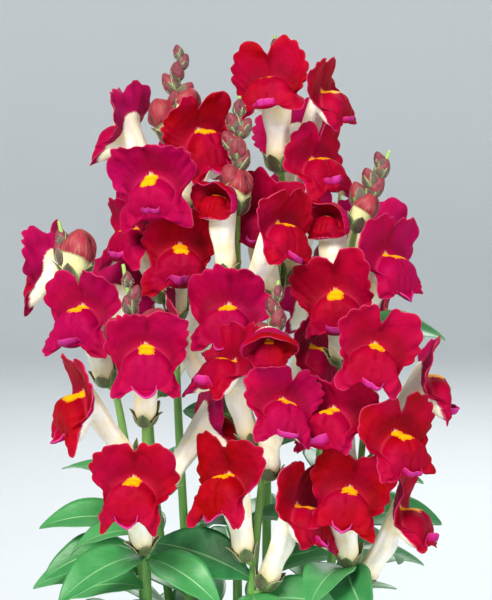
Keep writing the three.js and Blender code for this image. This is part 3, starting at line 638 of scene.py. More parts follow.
def leaf_skin():
    """Snapdragon leaf: a smooth, slightly waxy blade with a pale midrib and fine side veins, deeper
    green above and greyer below."""
    made, tree, place = surface(
        "snapdragon leaf", Roughness=0.42, Specular_IOR_Level=0.45, Subsurface_Weight=0.06,
        Subsurface_Scale=0.002, Subsurface_Radius=(0.3, 1.0, 0.2))
    shade, above = [node(tree, "ShaderNodeAttribute", attribute_name=layer).outputs["Fac"]
                    for layer in ("shade", "above")]
    across, level, _ = node(tree, "ShaderNodeSeparateXYZ", [place["UV"]]).outputs
    across = node(tree, "ShaderNodeMath", [across, 0.5], operation="SUBTRACT")
    across = node(tree, "ShaderNodeMath", [across], operation="ABSOLUTE")
    midrib = node(tree, "ShaderNodeMapRange", [across, 0.008, 0.032, 1.0, 0.0])
    # Side veins leave the midrib forwards, about 5 mm apart on a 50 mm leaf.
    slant = node(tree, "ShaderNodeMath", [across, -0.55, level], operation="MULTIPLY_ADD")
    slant = node(tree, "ShaderNodeCombineXYZ", [slant])
    side = node(tree, "ShaderNodeTexWave", {
        "Vector": slant, "Scale": 3.2, "Distortion": 1.2, "Detail Scale": 2.0},
        bands_direction="X", wave_profile="SIN").outputs["Fac"]
    side = node(tree, "ShaderNodeMapRange", [side, 0.93, 1.0, 0.0, 0.07])
    veins = node(tree, "ShaderNodeMath", [midrib, side], operation="MAXIMUM")
    mottle = node(tree, "ShaderNodeTexNoise", {"Vector": place["Object"], "Scale": 130.0, "Detail": 3.0})
    green = node(tree, "ShaderNodeMix", [shade, linear("#1C6836"), linear("#40944E")], data_type="RGBA")
    patchy = node(tree, "ShaderNodeMapRange", [mottle, 0.35, 0.7, 0.0, 0.3])
    green = node(tree, "ShaderNodeMix", [patchy, green, linear("#5CA668")], data_type="RGBA")
    green = node(tree, "ShaderNodeMix", [above, linear("#86B084"), green], data_type="RGBA")
    lines = node(tree, "ShaderNodeMath", [veins, 0.5], operation="MULTIPLY")
    colour = node(tree, "ShaderNodeMix", [lines, green, linear("#9CCC94")], data_type="RGBA")
    sunk = node(tree, "ShaderNodeMath", [veins, -1.0, mottle], operation="MULTIPLY_ADD")
    return finished(made, colour, sunk, strength=0.5, depth=0.0006)


def stalk_skin():
    """Green herb stalk: smooth, a little yellow towards the tips, with fine lengthwise grain."""
    made, tree, place = surface("green stalk", Roughness=0.45, Subsurface_Weight=0.05,
                                Subsurface_Scale=0.002, Subsurface_Radius=(0.4, 1.0, 0.2))
    shade = node(tree, "ShaderNodeAttribute", attribute_name="shade").outputs["Fac"]
    along = node(tree, "ShaderNodeMapping", {"Vector": place["Object"], "Scale": (9, 9, 1)})
    grain = node(tree, "ShaderNodeTexNoise", {"Vector": along, "Scale": 90.0, "Detail": 3.0})
    green = node(tree, "ShaderNodeMix", [shade, linear("#559A40"), linear("#9AB860")], data_type="RGBA")
    streak = node(tree, "ShaderNodeMapRange", [grain, 0.4, 0.7, 0.0, 0.6])
    colour = node(tree, "ShaderNodeMix", [streak, green, linear("#8CBC64")], data_type="RGBA")
    return finished(made, colour, grain, strength=0.4, depth=0.0004)


def sepal_skin():
    """Sepals: soft, downy green with a purple brown flush down the middle and a pale, thin rim."""
    made, tree, place = surface("downy sepal", Roughness=0.6, Sheen_Weight=0.25, Sheen_Roughness=0.35,
                                Sheen_Tint=linear("#E8E8C0"))
    shade = node(tree, "ShaderNodeAttribute", attribute_name="shade").outputs["Fac"]
    across = node(tree, "ShaderNodeSeparateXYZ", [place["UV"]]).outputs["X"]
    across = node(tree, "ShaderNodeMath", [across, 0.5], operation="SUBTRACT")
    across = node(tree, "ShaderNodeMath", [across], operation="ABSOLUTE")
    mottle = node(tree, "ShaderNodeTexNoise", {"Vector": place["Object"], "Scale": 420.0, "Detail": 3.0})
    green = node(tree, "ShaderNodeMix", [mottle, linear("#40602E"), linear("#6C8A4A")], data_type="RGBA")
    flush = node(tree, "ShaderNodeMapRange", [across, 0.12, 0.4, 1.0, 0.0])
    flush = node(tree, "ShaderNodeMath", [flush, shade], operation="MULTIPLY")
    flush = node(tree, "ShaderNodeMath", [flush, mottle], operation="MULTIPLY")
    flush = node(tree, "ShaderNodeMapRange", [flush, 0.06, 0.38, 0.0, 0.9])
    colour = node(tree, "ShaderNodeMix", [flush, green, linear("#5A3C40")], data_type="RGBA")
    rim = node(tree, "ShaderNodeMapRange", [across, 0.43, 0.5, 0.0, 0.7])
    colour = node(tree, "ShaderNodeMix", [rim, colour, linear("#CDBF9C")], data_type="RGBA")
    return finished(made, colour, mottle, strength=0.5, depth=0.0004)


def bud_skin():
    """Closed bud: a pale yellow green tube under a folded cap, maroon while young and red once ripe."""
    made, tree, place = surface(
        "snapdragon bud", Roughness=0.5, Specular_IOR_Level=0.25, Sheen_Weight=0.2,
        Sheen_Roughness=0.3, Sheen_Tint=linear("#F4DCD4"), Subsurface_Weight=0.1,
        Subsurface_Scale=0.002, Subsurface_Radius=(1.0, 0.6, 0.3))
    shade, cap, fold = [node(tree, "ShaderNodeAttribute", attribute_name=layer).outputs["Fac"]
                        for layer in ("shade", "cap", "fold")]
    along = node(tree, "ShaderNodeMapping", {"Vector": place["UV"], "Scale": (26, 2.5, 1)})
    veins = node(tree, "ShaderNodeTexNoise", {"Vector": along, "Scale": 2.0, "Detail": 2.0})
    tube = node(tree, "ShaderNodeMix", [shade, linear("#93A95A"), linear("#E2E4A8")], data_type="RGBA")
    young = node(tree, "ShaderNodeMix", [veins, linear("#581A30"), linear("#8A404E")], data_type="RGBA")
    ripe = node(tree, "ShaderNodeMix", [veins, linear("#861A2E"), linear("#A63244")], data_type="RGBA")
    top = node(tree, "ShaderNodeMix", [shade, young, ripe], data_type="RGBA")
    # Painted shade: the cap darkens in its front seam, at its lower edge and in its hollow folds.
    top = node(tree, "ShaderNodeMix", [fold, top, linear("#400A16")], data_type="RGBA")
    run = node(tree, "ShaderNodeMath", [veins, 0.6, -0.3], operation="MULTIPLY_ADD")
    run = node(tree, "ShaderNodeMath", [run, cap], operation="ADD", use_clamp=True)
    colour = node(tree, "ShaderNodeMix", [run, tube, top], data_type="RGBA")
    return finished(made, colour, veins, strength=0.4, depth=0.0004)


def down_skin():
    """Plant hairs: pale and see-through in life, which gives the green parts their soft, light rim."""
    made, tree, place = surface("plant hairs", Roughness=0.5, Specular_IOR_Level=0.4)
    tint = node(tree, "ShaderNodeTexNoise", {"Vector": place["Object"], "Scale": 900.0})
    colour = node(tree, "ShaderNodeMix", [tint, linear("#D8D8BC"), linear("#F4E8DC")], data_type="RGBA")
    return finished(made, colour)


def terracotta():
    """Unglazed terracotta: fired clay, matt, with faint turning lines and pale bloom from the water."""
    made, tree, place = surface("unglazed terracotta", Roughness=0.85, Specular_IOR_Level=0.3)
    cloud = node(tree, "ShaderNodeTexNoise", {"Vector": place["Object"], "Scale": 22.0, "Detail": 6.0})
    grit = node(tree, "ShaderNodeTexNoise", {"Vector": place["Object"], "Scale": 900.0, "Detail": 2.0})
    rings = node(tree, "ShaderNodeTexWave", {
        "Vector": place["Object"], "Scale": 80.0, "Distortion": 2.0, "Detail": 2.0,
        "Detail Scale": 0.4}, bands_direction="Z").outputs["Fac"]
    clay = node(tree, "ShaderNodeMix", [cloud, linear("#97492B"), linear("#B26A45")], data_type="RGBA")
    bloom = node(tree, "ShaderNodeMapRange", [cloud, 0.55, 0.75, 0.0, 0.5])
    clay = node(tree, "ShaderNodeMix", [bloom, clay, linear("#C69E84")], data_type="RGBA")
    relief = node(tree, "ShaderNodeMath", [rings, 0.3, grit], operation="MULTIPLY_ADD")
    return finished(made, clay, relief, strength=0.5, depth=0.0006)


def potting_soil():
    """Moist potting soil: dark crumbs of peat and bark, no shine."""
    made, tree, place = surface("moist potting soil", Roughness=0.95, Specular_IOR_Level=0.2)
    shade = node(tree, "ShaderNodeAttribute", attribute_name="shade").outputs["Fac"]
    grain = node(tree, "ShaderNodeTexNoise", {"Vector": place["Object"], "Scale": 380.0, "Detail": 4.0})
    mixed = node(tree, "ShaderNodeMath", [grain, shade], operation="MULTIPLY")
    colour = node(tree, "ShaderNodeMix", [mixed, linear("#20160F"), linear("#6A4C36")], data_type="RGBA")
    return finished(made, colour, grain, strength=0.9, depth=0.001)


def studio_paper():
    """Seamless studio paper: an even, pale, matt ground."""
    made, tree, place = surface("pale studio paper", Roughness=0.9, Specular_IOR_Level=0.2)
    fibre = node(tree, "ShaderNodeTexNoise", {"Vector": place["Object"], "Scale": 4.0})
    colour = node(tree, "ShaderNodeMix", [fibre, linear("#D6DCE0"), linear("#DBE0E3")], data_type="RGBA")
    return finished(made, colour)


# ---- Flower ----
# A corolla is a net of points: 120 of them round the face in each row, and rows from the foot of the
# tube (level 0) over the backs of the lips, their edge and their fronts to the front of the palate (1).

ANGLE = np.arange(PETAL_SIDES) * 360 / PETAL_SIDES
SIDE = np.where(ANGLE > 180, -1.0, 1.0)
FOLD = np.where(ANGLE > 180, 360 - ANGLE, ANGLE)  # 0 at the upper lip's cleft, 180 at the middle lobe
LOWER = ease((FOLD - 80) / 30)  # 0 round the upper lip, 1 round the lower lip
TONGUE = bell(FOLD - 180, 19)  # 1 at the middle lobe of the lower lip
FORWARDS = np.array([0.0, 0.0, 1.0])

# The rows that give the shape, and those of the finished net, closest along the edge of the lips.
CONTROL_LEVELS = [0, 0.06, 0.15, 0.25, 0.33, 0.43, 0.53, 0.598, LIP_EDGE, 0.622, 0.70, 0.78, 0.84, 0.87,
                  0.90, 0.94, 0.97]
NET_LEVELS = np.concatenate([
    np.linspace(0, 0.33, 10, endpoint=False), np.linspace(0.33, 0.59, 9, endpoint=False),
    np.linspace(0.59, 0.63, 7, endpoint=False), np.linspace(0.63, 0.83, 9, endpoint=False),
    np.linspace(0.83, 0.97, 12)])

# Sizes of the lips in millimetres: the scallops and lobes of the edge, how far it leans back, the
# middle lobe's curl up and forwards, the swell of a closed hood, the hollow of the upper lip and the
# crown of the lower, the edge's turn backwards, and the thickness of the blades and of their edge.
LIPS = {"scallop": 1.9, "lobe": 0.9, "lean": 2.1, "curl": (5.2, 1.2), "hood": 3.0, "hollow": (-1.8, 0.5),
        "reflex": 0.8, "thickness": 1.0, "half_edge": 0.24}
# Furrows down the front of the palate: depth, distance from the middle and width.
FURROWS = [(0.5, 0, 1.1), (0.35, 4.3, 1.2)]
CLEFT_DEPTH = 0.7
ROLL, NOD = (9, 15), (5, 9)  # how far a face turns and nods, in degrees: its usual and its largest


def mirrored(table):
    """A table of the face's right half, read smoothly all round the face."""
    flip = np.array([-1, 1, 1])
    knots = np.concatenate([[-table[1, 0]], table[:, 0], [360 - table[-2, 0]]])
    values = np.vstack([table[1, 1:] * flip, table[:, 1:], table[-2, 1:] * flip])
    return curve_through(knots, values, FOLD)


def wave(draw, low, high, strength):
    """An uneven wave round the flower, summed from whole numbers of turns."""
    total = 0
    for turns in range(low, high + 1):
        height = draw.normal(0, strength / math.sqrt(turns))
        total = total + height * np.cos(np.radians(turns * ANGLE) + draw.uniform(0, math.tau))
    return total


def face_row(sideways, up, forward):
    """A row of points from what the right half has, mirrored on the left."""
    return np.stack(np.broadcast_arrays(SIDE * sideways, up, forward), axis=-1).astype(float)


def palate_row(swell, across, down, forward):
    """A row of points round the palate, at shares of its half width and half height."""
    return face_row(swell * across * PALATE["half_width"] * sine(FOLD),
                    swell * (down * PALATE["half_height"] * cosine(FOLD) - PALATE["drop"]),
                    swell * forward)


def tube_row(along, radius):
    """A round row of points at a distance along the tube's axis from its foot."""
    length, rise = TUBE["length"], TUBE["rise"]
    forward = along * cosine(rise) - radius * cosine(FOLD) * sine(rise)
    up = along * sine(rise) + radius * cosine(FOLD) * cosine(rise)
    return face_row(radius * sine(FOLD), up - length * sine(rise), forward - length * cosine(rise))


def own_edge(opening, draw):
    """The edge of one flower's lips: a deeper or shallower cleft, and lobes that lean and spread
    unevenly."""
    table = OPEN_EDGE.copy()
    cleft = draw.choice([draw.uniform(0, 2.5), draw.uniform(4, 8)], p=[0.7, 0.3])
    lift = draw.choice([0.0, draw.uniform(1.5, 4.5)], p=[0.55, 0.45])
    sideways, up, forward = table.T[1:]
    up[:2] -= cleft * np.array([1.0, 0.2])
    sideways[9:12] += draw.uniform(-1.0, 2.5)  # the side lobes of the lower lip spread
    up[11:13] += draw.uniform(-3.0, 1.0)  # and hang
    up[12:] += lift * np.array([0.4, 0.8, 1.0, 1.0])  # the middle lobe rises forwards
    forward[12:] += lift * np.array([0.1, 0.2, 0.3, 0.3])
    return face_row(*blend(mirrored(HOODED_EDGE), mirrored(table), opening).T)


def petal_net(opening, swell, free, draw):
    """The smooth net of a corolla, the middle of its palate's front, and the way its lips face."""
    edge = own_edge(opening, draw)
    throat = face_row(THROAT["half_width"] * sine(FOLD),
                      THROAT["lift"] + THROAT["half_height"] * cosine(FOLD), 0)
    outwards = edge - throat
    outwards /= np.linalg.norm(outwards, axis=1, keepdims=True)
    normal = FORWARDS - outwards * (outwards @ FORWARDS)[:, None]
    normal /= np.linalg.norm(normal, axis=1, keepdims=True)
    radial = face_row(sine(FOLD), cosine(FOLD), 0)

    # The edge: 18 to 22 scallops, uneven lobes, an upper lip that leans back and a curled middle lobe.
    turns = np.radians(ANGLE) + 0.16 * wave(draw, 2, 5, 1.0)
    scallops = np.abs(np.cos(turns * draw.integers(9, 12) + draw.uniform(0, math.tau))) - 0.6
    uneven = LIPS["scallop"] * scallops + wave(draw, 1, 9, LIPS["lobe"])
    edge = edge + outwards * (uneven * free)[:, None]
    lean_back = wave(draw, 1, 5, LIPS["lean"]) * free * (1 - 0.6 * LOWER)
    curl = draw.choice([0.0, 1.0], p=[0.35, 0.65]) * opening * TONGUE
    edge = edge + normal * lean_back[:, None] + face_row(0, *LIPS["curl"]) * curl[:, None]

    # The two cheeks of the palate, and the crease behind them, deep under the upper lip.
    groove = PALATE["groove"] * np.maximum(0, cosine(FOLD)) ** 10
    broad = 1.0 + 0.14 * ease((FOLD - 25) / 60)
    crease = palate_row(swell, blend(broad, 1.2, LOWER), blend(1.04, 1.18, LOWER),
                        blend(3.0 + 3.0 * sine(FOLD) ** 2, 13.9, LOWER))
    brow = palate_row(swell, blend(broad, 1.1, LOWER), blend(0.99, 1.06, LOWER),
                      blend(9.0, 14.3, LOWER) - groove * 0.5)
    cheek = palate_row(swell, blend(broad * 0.9, 0.92, LOWER), blend(0.82, 0.86, LOWER),
                       blend(12.9, 14.7, LOWER) - groove * 0.9)
    shoulder = palate_row(swell, 0.72, blend(0.54, 0.62, LOWER), blend(14.5, 15.0, LOWER) - groove)
    inner = palate_row(swell, 0.36, 0.3, 15.1 - 0.5 * groove)
    front = (0, -swell * PALATE["drop"], swell * PALATE["front"])

    # The lips: hollow fronts, backs a millimetre behind them, and a rounded edge between.
    hood = (1 - opening) * LIPS["hood"] * (1 - LOWER)[:, None] * radial
    hollow = blend(*LIPS["hollow"], LOWER)[:, None] * normal * opening
    inner_lip = blend(crease, edge, 0.34) + hollow + hood * 0.6
    outer_lip = blend(crease, edge, 0.72) + hollow * 0.5 + hood
    inner_lip = inner_lip + (0.9 * FORWARDS + 0.9 * radial) * (LOWER * opening)[:, None]
    outer_lip = outer_lip - normal * (1.2 * curl)[:, None]
    outer_back = outer_lip - normal * LIPS["thickness"]
    inner_back = blend(throat, outer_back, 0.5) - hollow * 0.3 + hood * 0.3
    inner_back = inner_back - radial * (0.8 * (1 - LOWER))[:, None] - face_row(0, 0.6, 0) * LOWER[:, None]
    rim = edge - normal * (LIPS["reflex"] * (1 - LOWER) * opening)[:, None]

    # The tube: a pouch behind the calyx, a keel along its underside and five faint flutes.
    foot_ring = tube_row(TUBE["foot_length"], TUBE["foot_radius"])
    tube_radial = tube_row(0, 1) - tube_row(0, 0)
    keel = np.maximum(0, -cosine(FOLD))
    flutes = np.cos(np.radians(5 * ANGLE) + 0.6)
    pouch = blend(foot_ring, throat, 0.14) + tube_radial * (0.3 + 1.3 * keel)[:, None]
    waist = blend(foot_ring, throat, 0.42) + tube_radial * (1.0 * keel - 0.4 + 0.25 * flutes)[:, None]
    high_tube = blend(foot_ring, throat, 0.75) + tube_radial * (1.6 * keel - 0.1 + 0.4 * flutes)[:, None]

    half_edge = normal * LIPS["half_edge"]
    rows = [foot_ring, pouch, waist, high_tube, throat, inner_back, outer_back, rim - half_edge,
            rim + outwards * LIPS["half_edge"] / 2, rim + half_edge, outer_lip, inner_lip, crease, brow,
            cheek, shoulder, inner]
    net = curve_through(CONTROL_LEVELS, np.array(rows), NET_LEVELS)
    return net.reshape(len(NET_LEVELS), PETAL_SIDES, 3), front, normal


def swayed(points, share, roll, nod, centre=THROAT["lift"]):
    """Points rolled and nodded about the middle of the throat, by a share of the angles."""
    sideways, up, forward = np.moveaxis(np.asarray(points, float), -1, 0)
    up = up - centre
    sideways, up = (sideways * np.cos(roll * share) - up * np.sin(roll * share),
                    sideways * np.sin(roll * share) + up * np.cos(roll * share))
    up, forward = (up * np.cos(nod * share) - forward * np.sin(nod * share),
                   up * np.sin(nod * share) + forward * np.cos(nod * share))
    return np.stack([sideways, up + centre, forward], axis=-1)


def petal_paint(opening, level, across, height, furrow, cleft_line):
    """The layers that the petal's colours read, each a number from 0 to 1 at each point of the net.
    across and height are a point's distances from the middle of the palate."""
    streak = bell(FOLD[None], 0.8 + 12 * ease((level - 0.77) / 0.07))
    streak = streak * ease((level - 0.795) / 0.045) * (level < 0.88)
    seam = bell(level - 0.842, 0.006) * (ease((FOLD - 10) / 20) * ease((108 - FOLD) / 12))[None]
    pigment = ease((level - 0.335 - 0.12 * LOWER[None]) / 0.08)
    hollow_shade = bell(level - 0.80, 0.035) * (ease((115 - FOLD) / 30))[None]
    spot_up = (height - 4.6 + 0.16 * across ** 1.5) / (1.9 - 0.15 * across)
    spot_side = np.maximum(0, across - 1.8) / 2.1
    yolk = np.exp(-(spot_up ** 2 + spot_side ** 2)) * (level > 0.835)
    # Painted shade: the crease layer darkens the faces in the upper lip's cleft, in the palate's furrows and
    # in the hollow under the upper lip, where shade falls.
    crease = cleft_line * ease((level - 0.63) / 0.04) + 0.7 * furrow + 0.9 * hollow_shade
    paint = {
        "pigment": pigment * (1 - 0.58 * streak),
        "face": ease((level - LIP_EDGE + 0.006) / 0.02) * np.ones_like(pigment),
        "margin": np.maximum(bell(level - LIP_EDGE, 0.010), 0.3 * seam),
        "foot": np.clip((1 - ease(level / 0.2)) + streak, 0, 1),
        "yolk": np.maximum(yolk, 0.40 * streak),
        "tip": TONGUE[None] * bell(level - LIP_EDGE, 0.06) * opening,
        "crease": np.clip(crease, 0, 1),
    }
    return {layer: with_ends(values) for layer, values in paint.items()}


def corolla(opening, draw):
    """The corolla fused from five petals, closed at the foot and over the palate. Returns its points,
    faces, UVs and layers, and the way that each point leans as the lips ruffle."""
    swell = blend(HOODED_PALATE, 1.0, opening)
    free = 0.4 + 0.6 * opening
    net, front, normal = petal_net(opening, swell, free, draw)

    # Shallow furrows run down the front of the palate, and one up to the cleft of the upper lip.
    level = NET_LEVELS[:, None]
    across, height = np.abs(net[..., 0]) / swell, net[..., 1] / swell
    furrow = sum(depth * bell(across - middle, width) for depth, middle, width in FURROWS)
    furrow = furrow * ease((level - 0.855) / 0.03) * ease((4.5 - height) / 4) * ease((height + 14) / 7)
    cleft_line = bell(FOLD, 4.5)[None] * ease((level - 0.40) / 0.10) * ease((0.80 - level) / 0.05)
    net[..., 2] -= furrow + CLEFT_DEPTH * opening * cleft_line

    roll, nod = (math.radians(float(np.clip(draw.normal(0, usual), -most, most)) * free)
                 for usual, most in (ROLL, NOD))
    sway = ease(level / 0.33)
    net = swayed(net, sway, roll, nod)
    front = swayed(front, 1.0, roll, nod)
    lip = ease((level - 0.40) / 0.17) * ease((0.80 - level) / 0.16)
    lean = swayed(normal[None] * (lip * free * (1 - 0.35 * LOWER[None]))[..., None], sway, roll, nod, 0)

    def to_plant(points, length=TUBE["length"]):
        """From sideways, up and forward of the throat to the plant's axes, from the tube's foot."""
        sideways, up, forward = np.moveaxis(np.asarray(points, float), -1, 0)
        return np.stack([-sideways, -length * cosine(TUBE["rise"]) - forward,
                         length * sine(TUBE["rise"]) + up], axis=-1)

    points, faces, uvs = skin(to_plant(net), (0, 0, 0), to_plant(front), levels=NET_LEVELS)
    lean = np.vstack([to_plant(lean, 0).reshape(-1, 3), np.zeros((2, 3))])
    return points, faces, uvs, petal_paint(opening, level, across, height, furrow, cleft_line), lean


# ---- Green shapes, each of unit size ----

def over_and_back(t):
    """U of a ring that runs over the top of a blade and back below, from t = 1 to -1 and back to 1."""
    return np.concatenate([(1 - t) / 2, [1], (1 - t[::-1][1:]) / 2, [0]])


def blade(middle, normal, half_width, keel, thickness, across):
    """A thin blade as rings for a skin: each runs over the top from the right edge to the left and back
    below, and has its own middle, normal and half width. Also its U, and 1 above and 0 below."""
    t = np.linspace(1, -1, 2 * across + 1)
    sideways = np.array([1.0, 0.0, 0.0])
    width = np.asarray(half_width)[:, None, None]
    lift = keel * width * np.abs(t)[None, :, None] ** 1.6
    sheet = middle[:, None] + sideways * width * t[None, :, None] + normal[:, None] * lift
    half = thickness / 2 * np.sqrt(1 - 0.75 * t ** 2)[None, :, None] * normal[:, None]
    rings = np.concatenate([sheet + half, (sheet - half)[:, ::-1]], axis=1)
    above = np.concatenate([np.ones(len(t)), np.zeros(len(t))])
    return rings, over_and_back(t), np.broadcast_to(above, rings.shape[:2])


def leaf_shape(name, ruffle, twist, draw):
    """A lance shaped leaf of length 1 that leaves the origin forwards (-Y) and arches down."""
    levels = np.linspace(0.03, 0.985, 18)
    arch = math.radians(LEAF["arch"])
    angle = -arch * levels
    flat = np.zeros_like(levels)
    middle = np.stack([flat, np.sin(angle) / arch, (np.cos(angle) - 1) / arch], axis=1)
    normal = np.stack([flat, np.sin(angle), np.cos(angle)], axis=1)
    fullness = curve_through(*zip(*LEAF["fullness"]), levels)[:, 0]
    rings, u, above = blade(middle, normal, fullness * LEAF["width"] / 2, LEAF["keel"],
                            LEAF["thickness"], across=6)
    # The margins wave a little, and the blade twists along its length.
    across = rings[..., 0] / (LEAF["width"] / 2)
    right, left = draw.uniform(0, math.tau, 2)
    ripple = ruffle * across ** 2 * np.where(
        across > 0, np.sin(15 * levels + right)[:, None], np.sin(13 * levels + left)[:, None])
    rings = rings + normal[:, None] * (ripple + twist * across * levels[:, None] ** 2)[..., None]
    tip = (0, -math.sin(arch) / arch, (math.cos(arch) - 1) / arch)
    points, faces, uvs = skin(rings, (0, 0, 0), tip, across=u, levels=levels)
    return new_piece(name, points, faces, uvs, above=with_ends(above))


def sepal_shape(name, profile, widths, draw):
    """One sepal that hugs a tube or bud along +Z. profile gives its radius and height, and widths its
    half width, at even steps from its foot to its tip."""
    levels = np.linspace(0.02, 0.97, 7)
    steps = np.linspace(0, 1, len(profile))
    radius, height = curve_through(steps, profile, levels).T
    half = curve_through(steps, widths, levels)[:, 0] * draw.uniform(0.92, 1.08)
    thick = 0.05 * max(widths)
    t = np.linspace(1, -1, 5)
    rings = []
    for sheet_radius, order in ((radius + thick, t), (radius - thick, t[::-1])):
        turn = order[None] * (half / np.maximum(radius, 0.7 * max(widths)))[:, None]
        rings.append(np.stack([
            sheet_radius[:, None] * np.sin(turn), -sheet_radius[:, None] * np.cos(turn),
            np.broadcast_to(height[:, None], turn.shape)], axis=-1))
    foot, tip = profile[0], profile[-1]
    points, faces, uvs = skin(
        np.concatenate(rings, axis=1), (0, -foot[0], foot[1] - thick), (0, -tip[0], tip[1] + thick),
        across=over_and_back(t), levels=levels)
    return new_piece(name, points, faces, uvs)


def bud_shape(name, profile, cap_from, beak, lobes, draw):
    """A closed bud of length 1 along +Z: a tube under a cap of folded lips, whose front (-Y) reaches
    down to a beak."""
    levels = np.concatenate([
        np.linspace(0, 0.36, 6, endpoint=False), np.linspace(0.36, 0.66, 13, endpoint=False),
        np.linspace(0.66, 0.985, 9)])
    angle = np.arange(BUD_SIDES) * math.tau / BUD_SIDES
    level = levels[:, None]
    front = bell(np.minimum(angle, math.tau - angle), 0.75)[None]
    seam = bell(np.sin(angle / 2), 0.13)[None]  # the fold down the front of the cap
    step = cap_from - beak * front
    on_cap = ease((level - step) / 0.05)
    radius = curve_through(*zip(*profile), levels)
    radius = radius * (1 + 0.09 * on_cap) * (1 - lobes * np.cos(2 * angle)[None] * on_cap)
    folds = 0.055 * np.cos(3 * angle[None] + 9 * level + draw.uniform(0, math.tau))
    folds = folds + 0.045 * np.cos(5 * angle[None] - 15 * level + draw.uniform(0, math.tau))
    radius = radius * (1 + (folds + 0.18 * front - 0.14 * seam) * on_cap * (level < 0.97))
    radius = radius * (1 + 0.03 * np.cos(5 * angle + draw.uniform(0, math.tau)))[None]
    lean = 0.05 * level ** 2
    rings = np.stack([radius * np.sin(angle), -radius * np.cos(angle) - lean,
                      np.broadcast_to(level, radius.shape)], axis=-1)
    points, faces, uvs = skin(rings[:, ::-1], (0, 0, -0.02), (0, -0.05, 1.0), levels=levels)
    # Painted shade: the cap is darkened along its front seam, at its lower edge and in the hollows of its
    # folds, where shade falls.
    crease = 0.6 * seam * on_cap + 0.8 * bell(level - step, 0.02)
    crease = np.clip(crease + 7 * np.maximum(0, -folds - 0.04) * on_cap, 0, 1)
    return new_piece(name, points, faces, uvs, cap=with_ends(on_cap[:, ::-1]),
                     fold=with_ends(crease[:, ::-1]))


def shapes_of(name, pieces):
    """A collection of shapes to pick from, which isn't part of the scene."""
    made = bpy.data.collections.new(name)
    for piece in pieces:
        bpy.context.scene.collection.objects.unlink(piece)
        made.objects.link(piece)
    return made


def grow(name, shapes, places, material, seed, size_spread=0.0, turn_spread=0.0):
    """One of the shapes at each place, as one mesh. A place is a matrix in millimetres and a shade."""
    spots = [matrix.translation for matrix, _ in places]
    piece = new_piece(name, spots, [], turn=np.array([tuple(matrix.to_euler()) for matrix, _ in places]),
                      size=np.array([matrix.median_scale for matrix, _ in places]),
                      shade=np.array([shade for _, shade in places]))
    return run_tree(piece, GROWTH, shapes=shapes, size_spread=size_spread, turn_spread=turn_spread,
                    seed=seed, material=material)


# ---- The plant ----

PETAL, LEAF_SKIN, STALK_SKIN = petal(), leaf_skin(), stalk_skin()
SEPAL_SKIN, BUD_SKIN, DOWN_SKIN = sepal_skin(), bud_skin(), down_skin()
GROWTH, ROD, RUFFLE, CRUMBS, DOWN = growth_tree(), rod_tree(), ruffle_tree(), crumb_tree(), down_tree()

shape_draw = np.random.default_rng(SEEDS["shapes"])
LEAVES = shapes_of("leaves", [
    leaf_shape(name, ruffle, twist, shape_draw)
    for name, ruffle, twist in (("leaf_a", 0.010, 0.02), ("leaf_b", 0.014, -0.03), ("leaf_c", 0.006, 0.04))])
SEPAL_SHAPES = shapes_of("sepals", [
    sepal_shape(f"sepal_{flare}", CALYX["bowl"] + [(6.2 + 0.4 * flare, 6.1), (6.7 + flare, 7.9)],
                CALYX["half_widths"], shape_draw)
    for flare in CALYX["flares"]])
BUD_SEPALS = shapes_of("bud sepals", [
    sepal_shape(f"bud_sepal_{reach}", BUD_CALYX["bowl"] + [
        (radius, 0.26 + share * reach) for radius, share in ((0.335, 0.2), (0.31, 0.38), (0.25, 0.55))],
                BUD_CALYX["half_widths"], shape_draw)
    for reach in BUD_CALYX["reaches"]])
LONG_BUDS = shapes_of("long buds", [
    bud_shape("long_bud_a", LONG_PROFILE, 0.62, 0.17, 0.08, shape_draw),
    bud_shape("long_bud_b", LONG_PROFILE, 0.59, 0.12, 0.11, shape_draw)])
KNOBS = shapes_of("knob buds", [
    bud_shape("knob_a", KNOB_PROFILE, 0.36, 0.04, 0.05, shape_draw),
    bud_shape("knob_b", KNOB_PROFILE, 0.30, 0.04, 0.08, shape_draw)])


def bloom_piece(name, matrix, opening, seed):
    """A corolla set in its place on the plant, with its lips ruffled."""
    draw = np.random.default_rng(seed)
    points, faces, uvs, layers, lean = corolla(opening, draw)
    turn = np.array(matrix.to_3x3().normalized())
    shade = MAGENTA_LEAN * draw.uniform(0, 1) ** 1.5
    piece = new_piece(name, moved(points, matrix), faces, uvs, lean=lean @ turn.T,
                      shade=np.full(len(points), shade), **layers)
    return run_tree(piece, RUFFLE, height=LIP_WAVES["height"] * MM,
                    waves_per_metre=LIP_WAVES["per_metre"], seed=float(seed), material=PETAL)


def stalk_piece(name, path, joints):
    """A stem's stalk and the pedicel to each calyx, as lines with a thickness made round."""
    foot, tip = path[0][2], path[-1][2]
    count = round((tip - foot) / STEM["step"])
    share = np.arange(count + 1) / count
    points = [on_stem(path, foot + (tip - foot) * s) for s in share]
    thickness = [blend(STEM["tip_radius"], STEM["foot_radius"], math.sqrt(1 - s)) for s in share]
    shade = list(share ** 2)
    edges = [(row, row + 1) for row in range(count)]
    for joint, matrix in joints:
        neck, bed = (matrix @ ALONG_TUBE @ Vector((0, 0, PEDICEL[end])) for end in ("neck", "bed"))
        middle = joint.lerp(neck, 0.55) + Vector((0, 0, -PEDICEL["sag"]))
        edges += [(len(points) + i, len(points) + i + 1) for i in range(4)]
        points += [joint, joint.lerp(middle, 0.6), middle, neck, bed]
        thickness += PEDICEL["radii"]
        shade += [PEDICEL["shade"]] * 5
    piece = new_piece(name, points, [], edges=edges, thickness=np.array(thickness) * MM, shade=shade)
    return run_tree(piece, ROD, sides=STEM["sides"], material=STALK_SKIN)


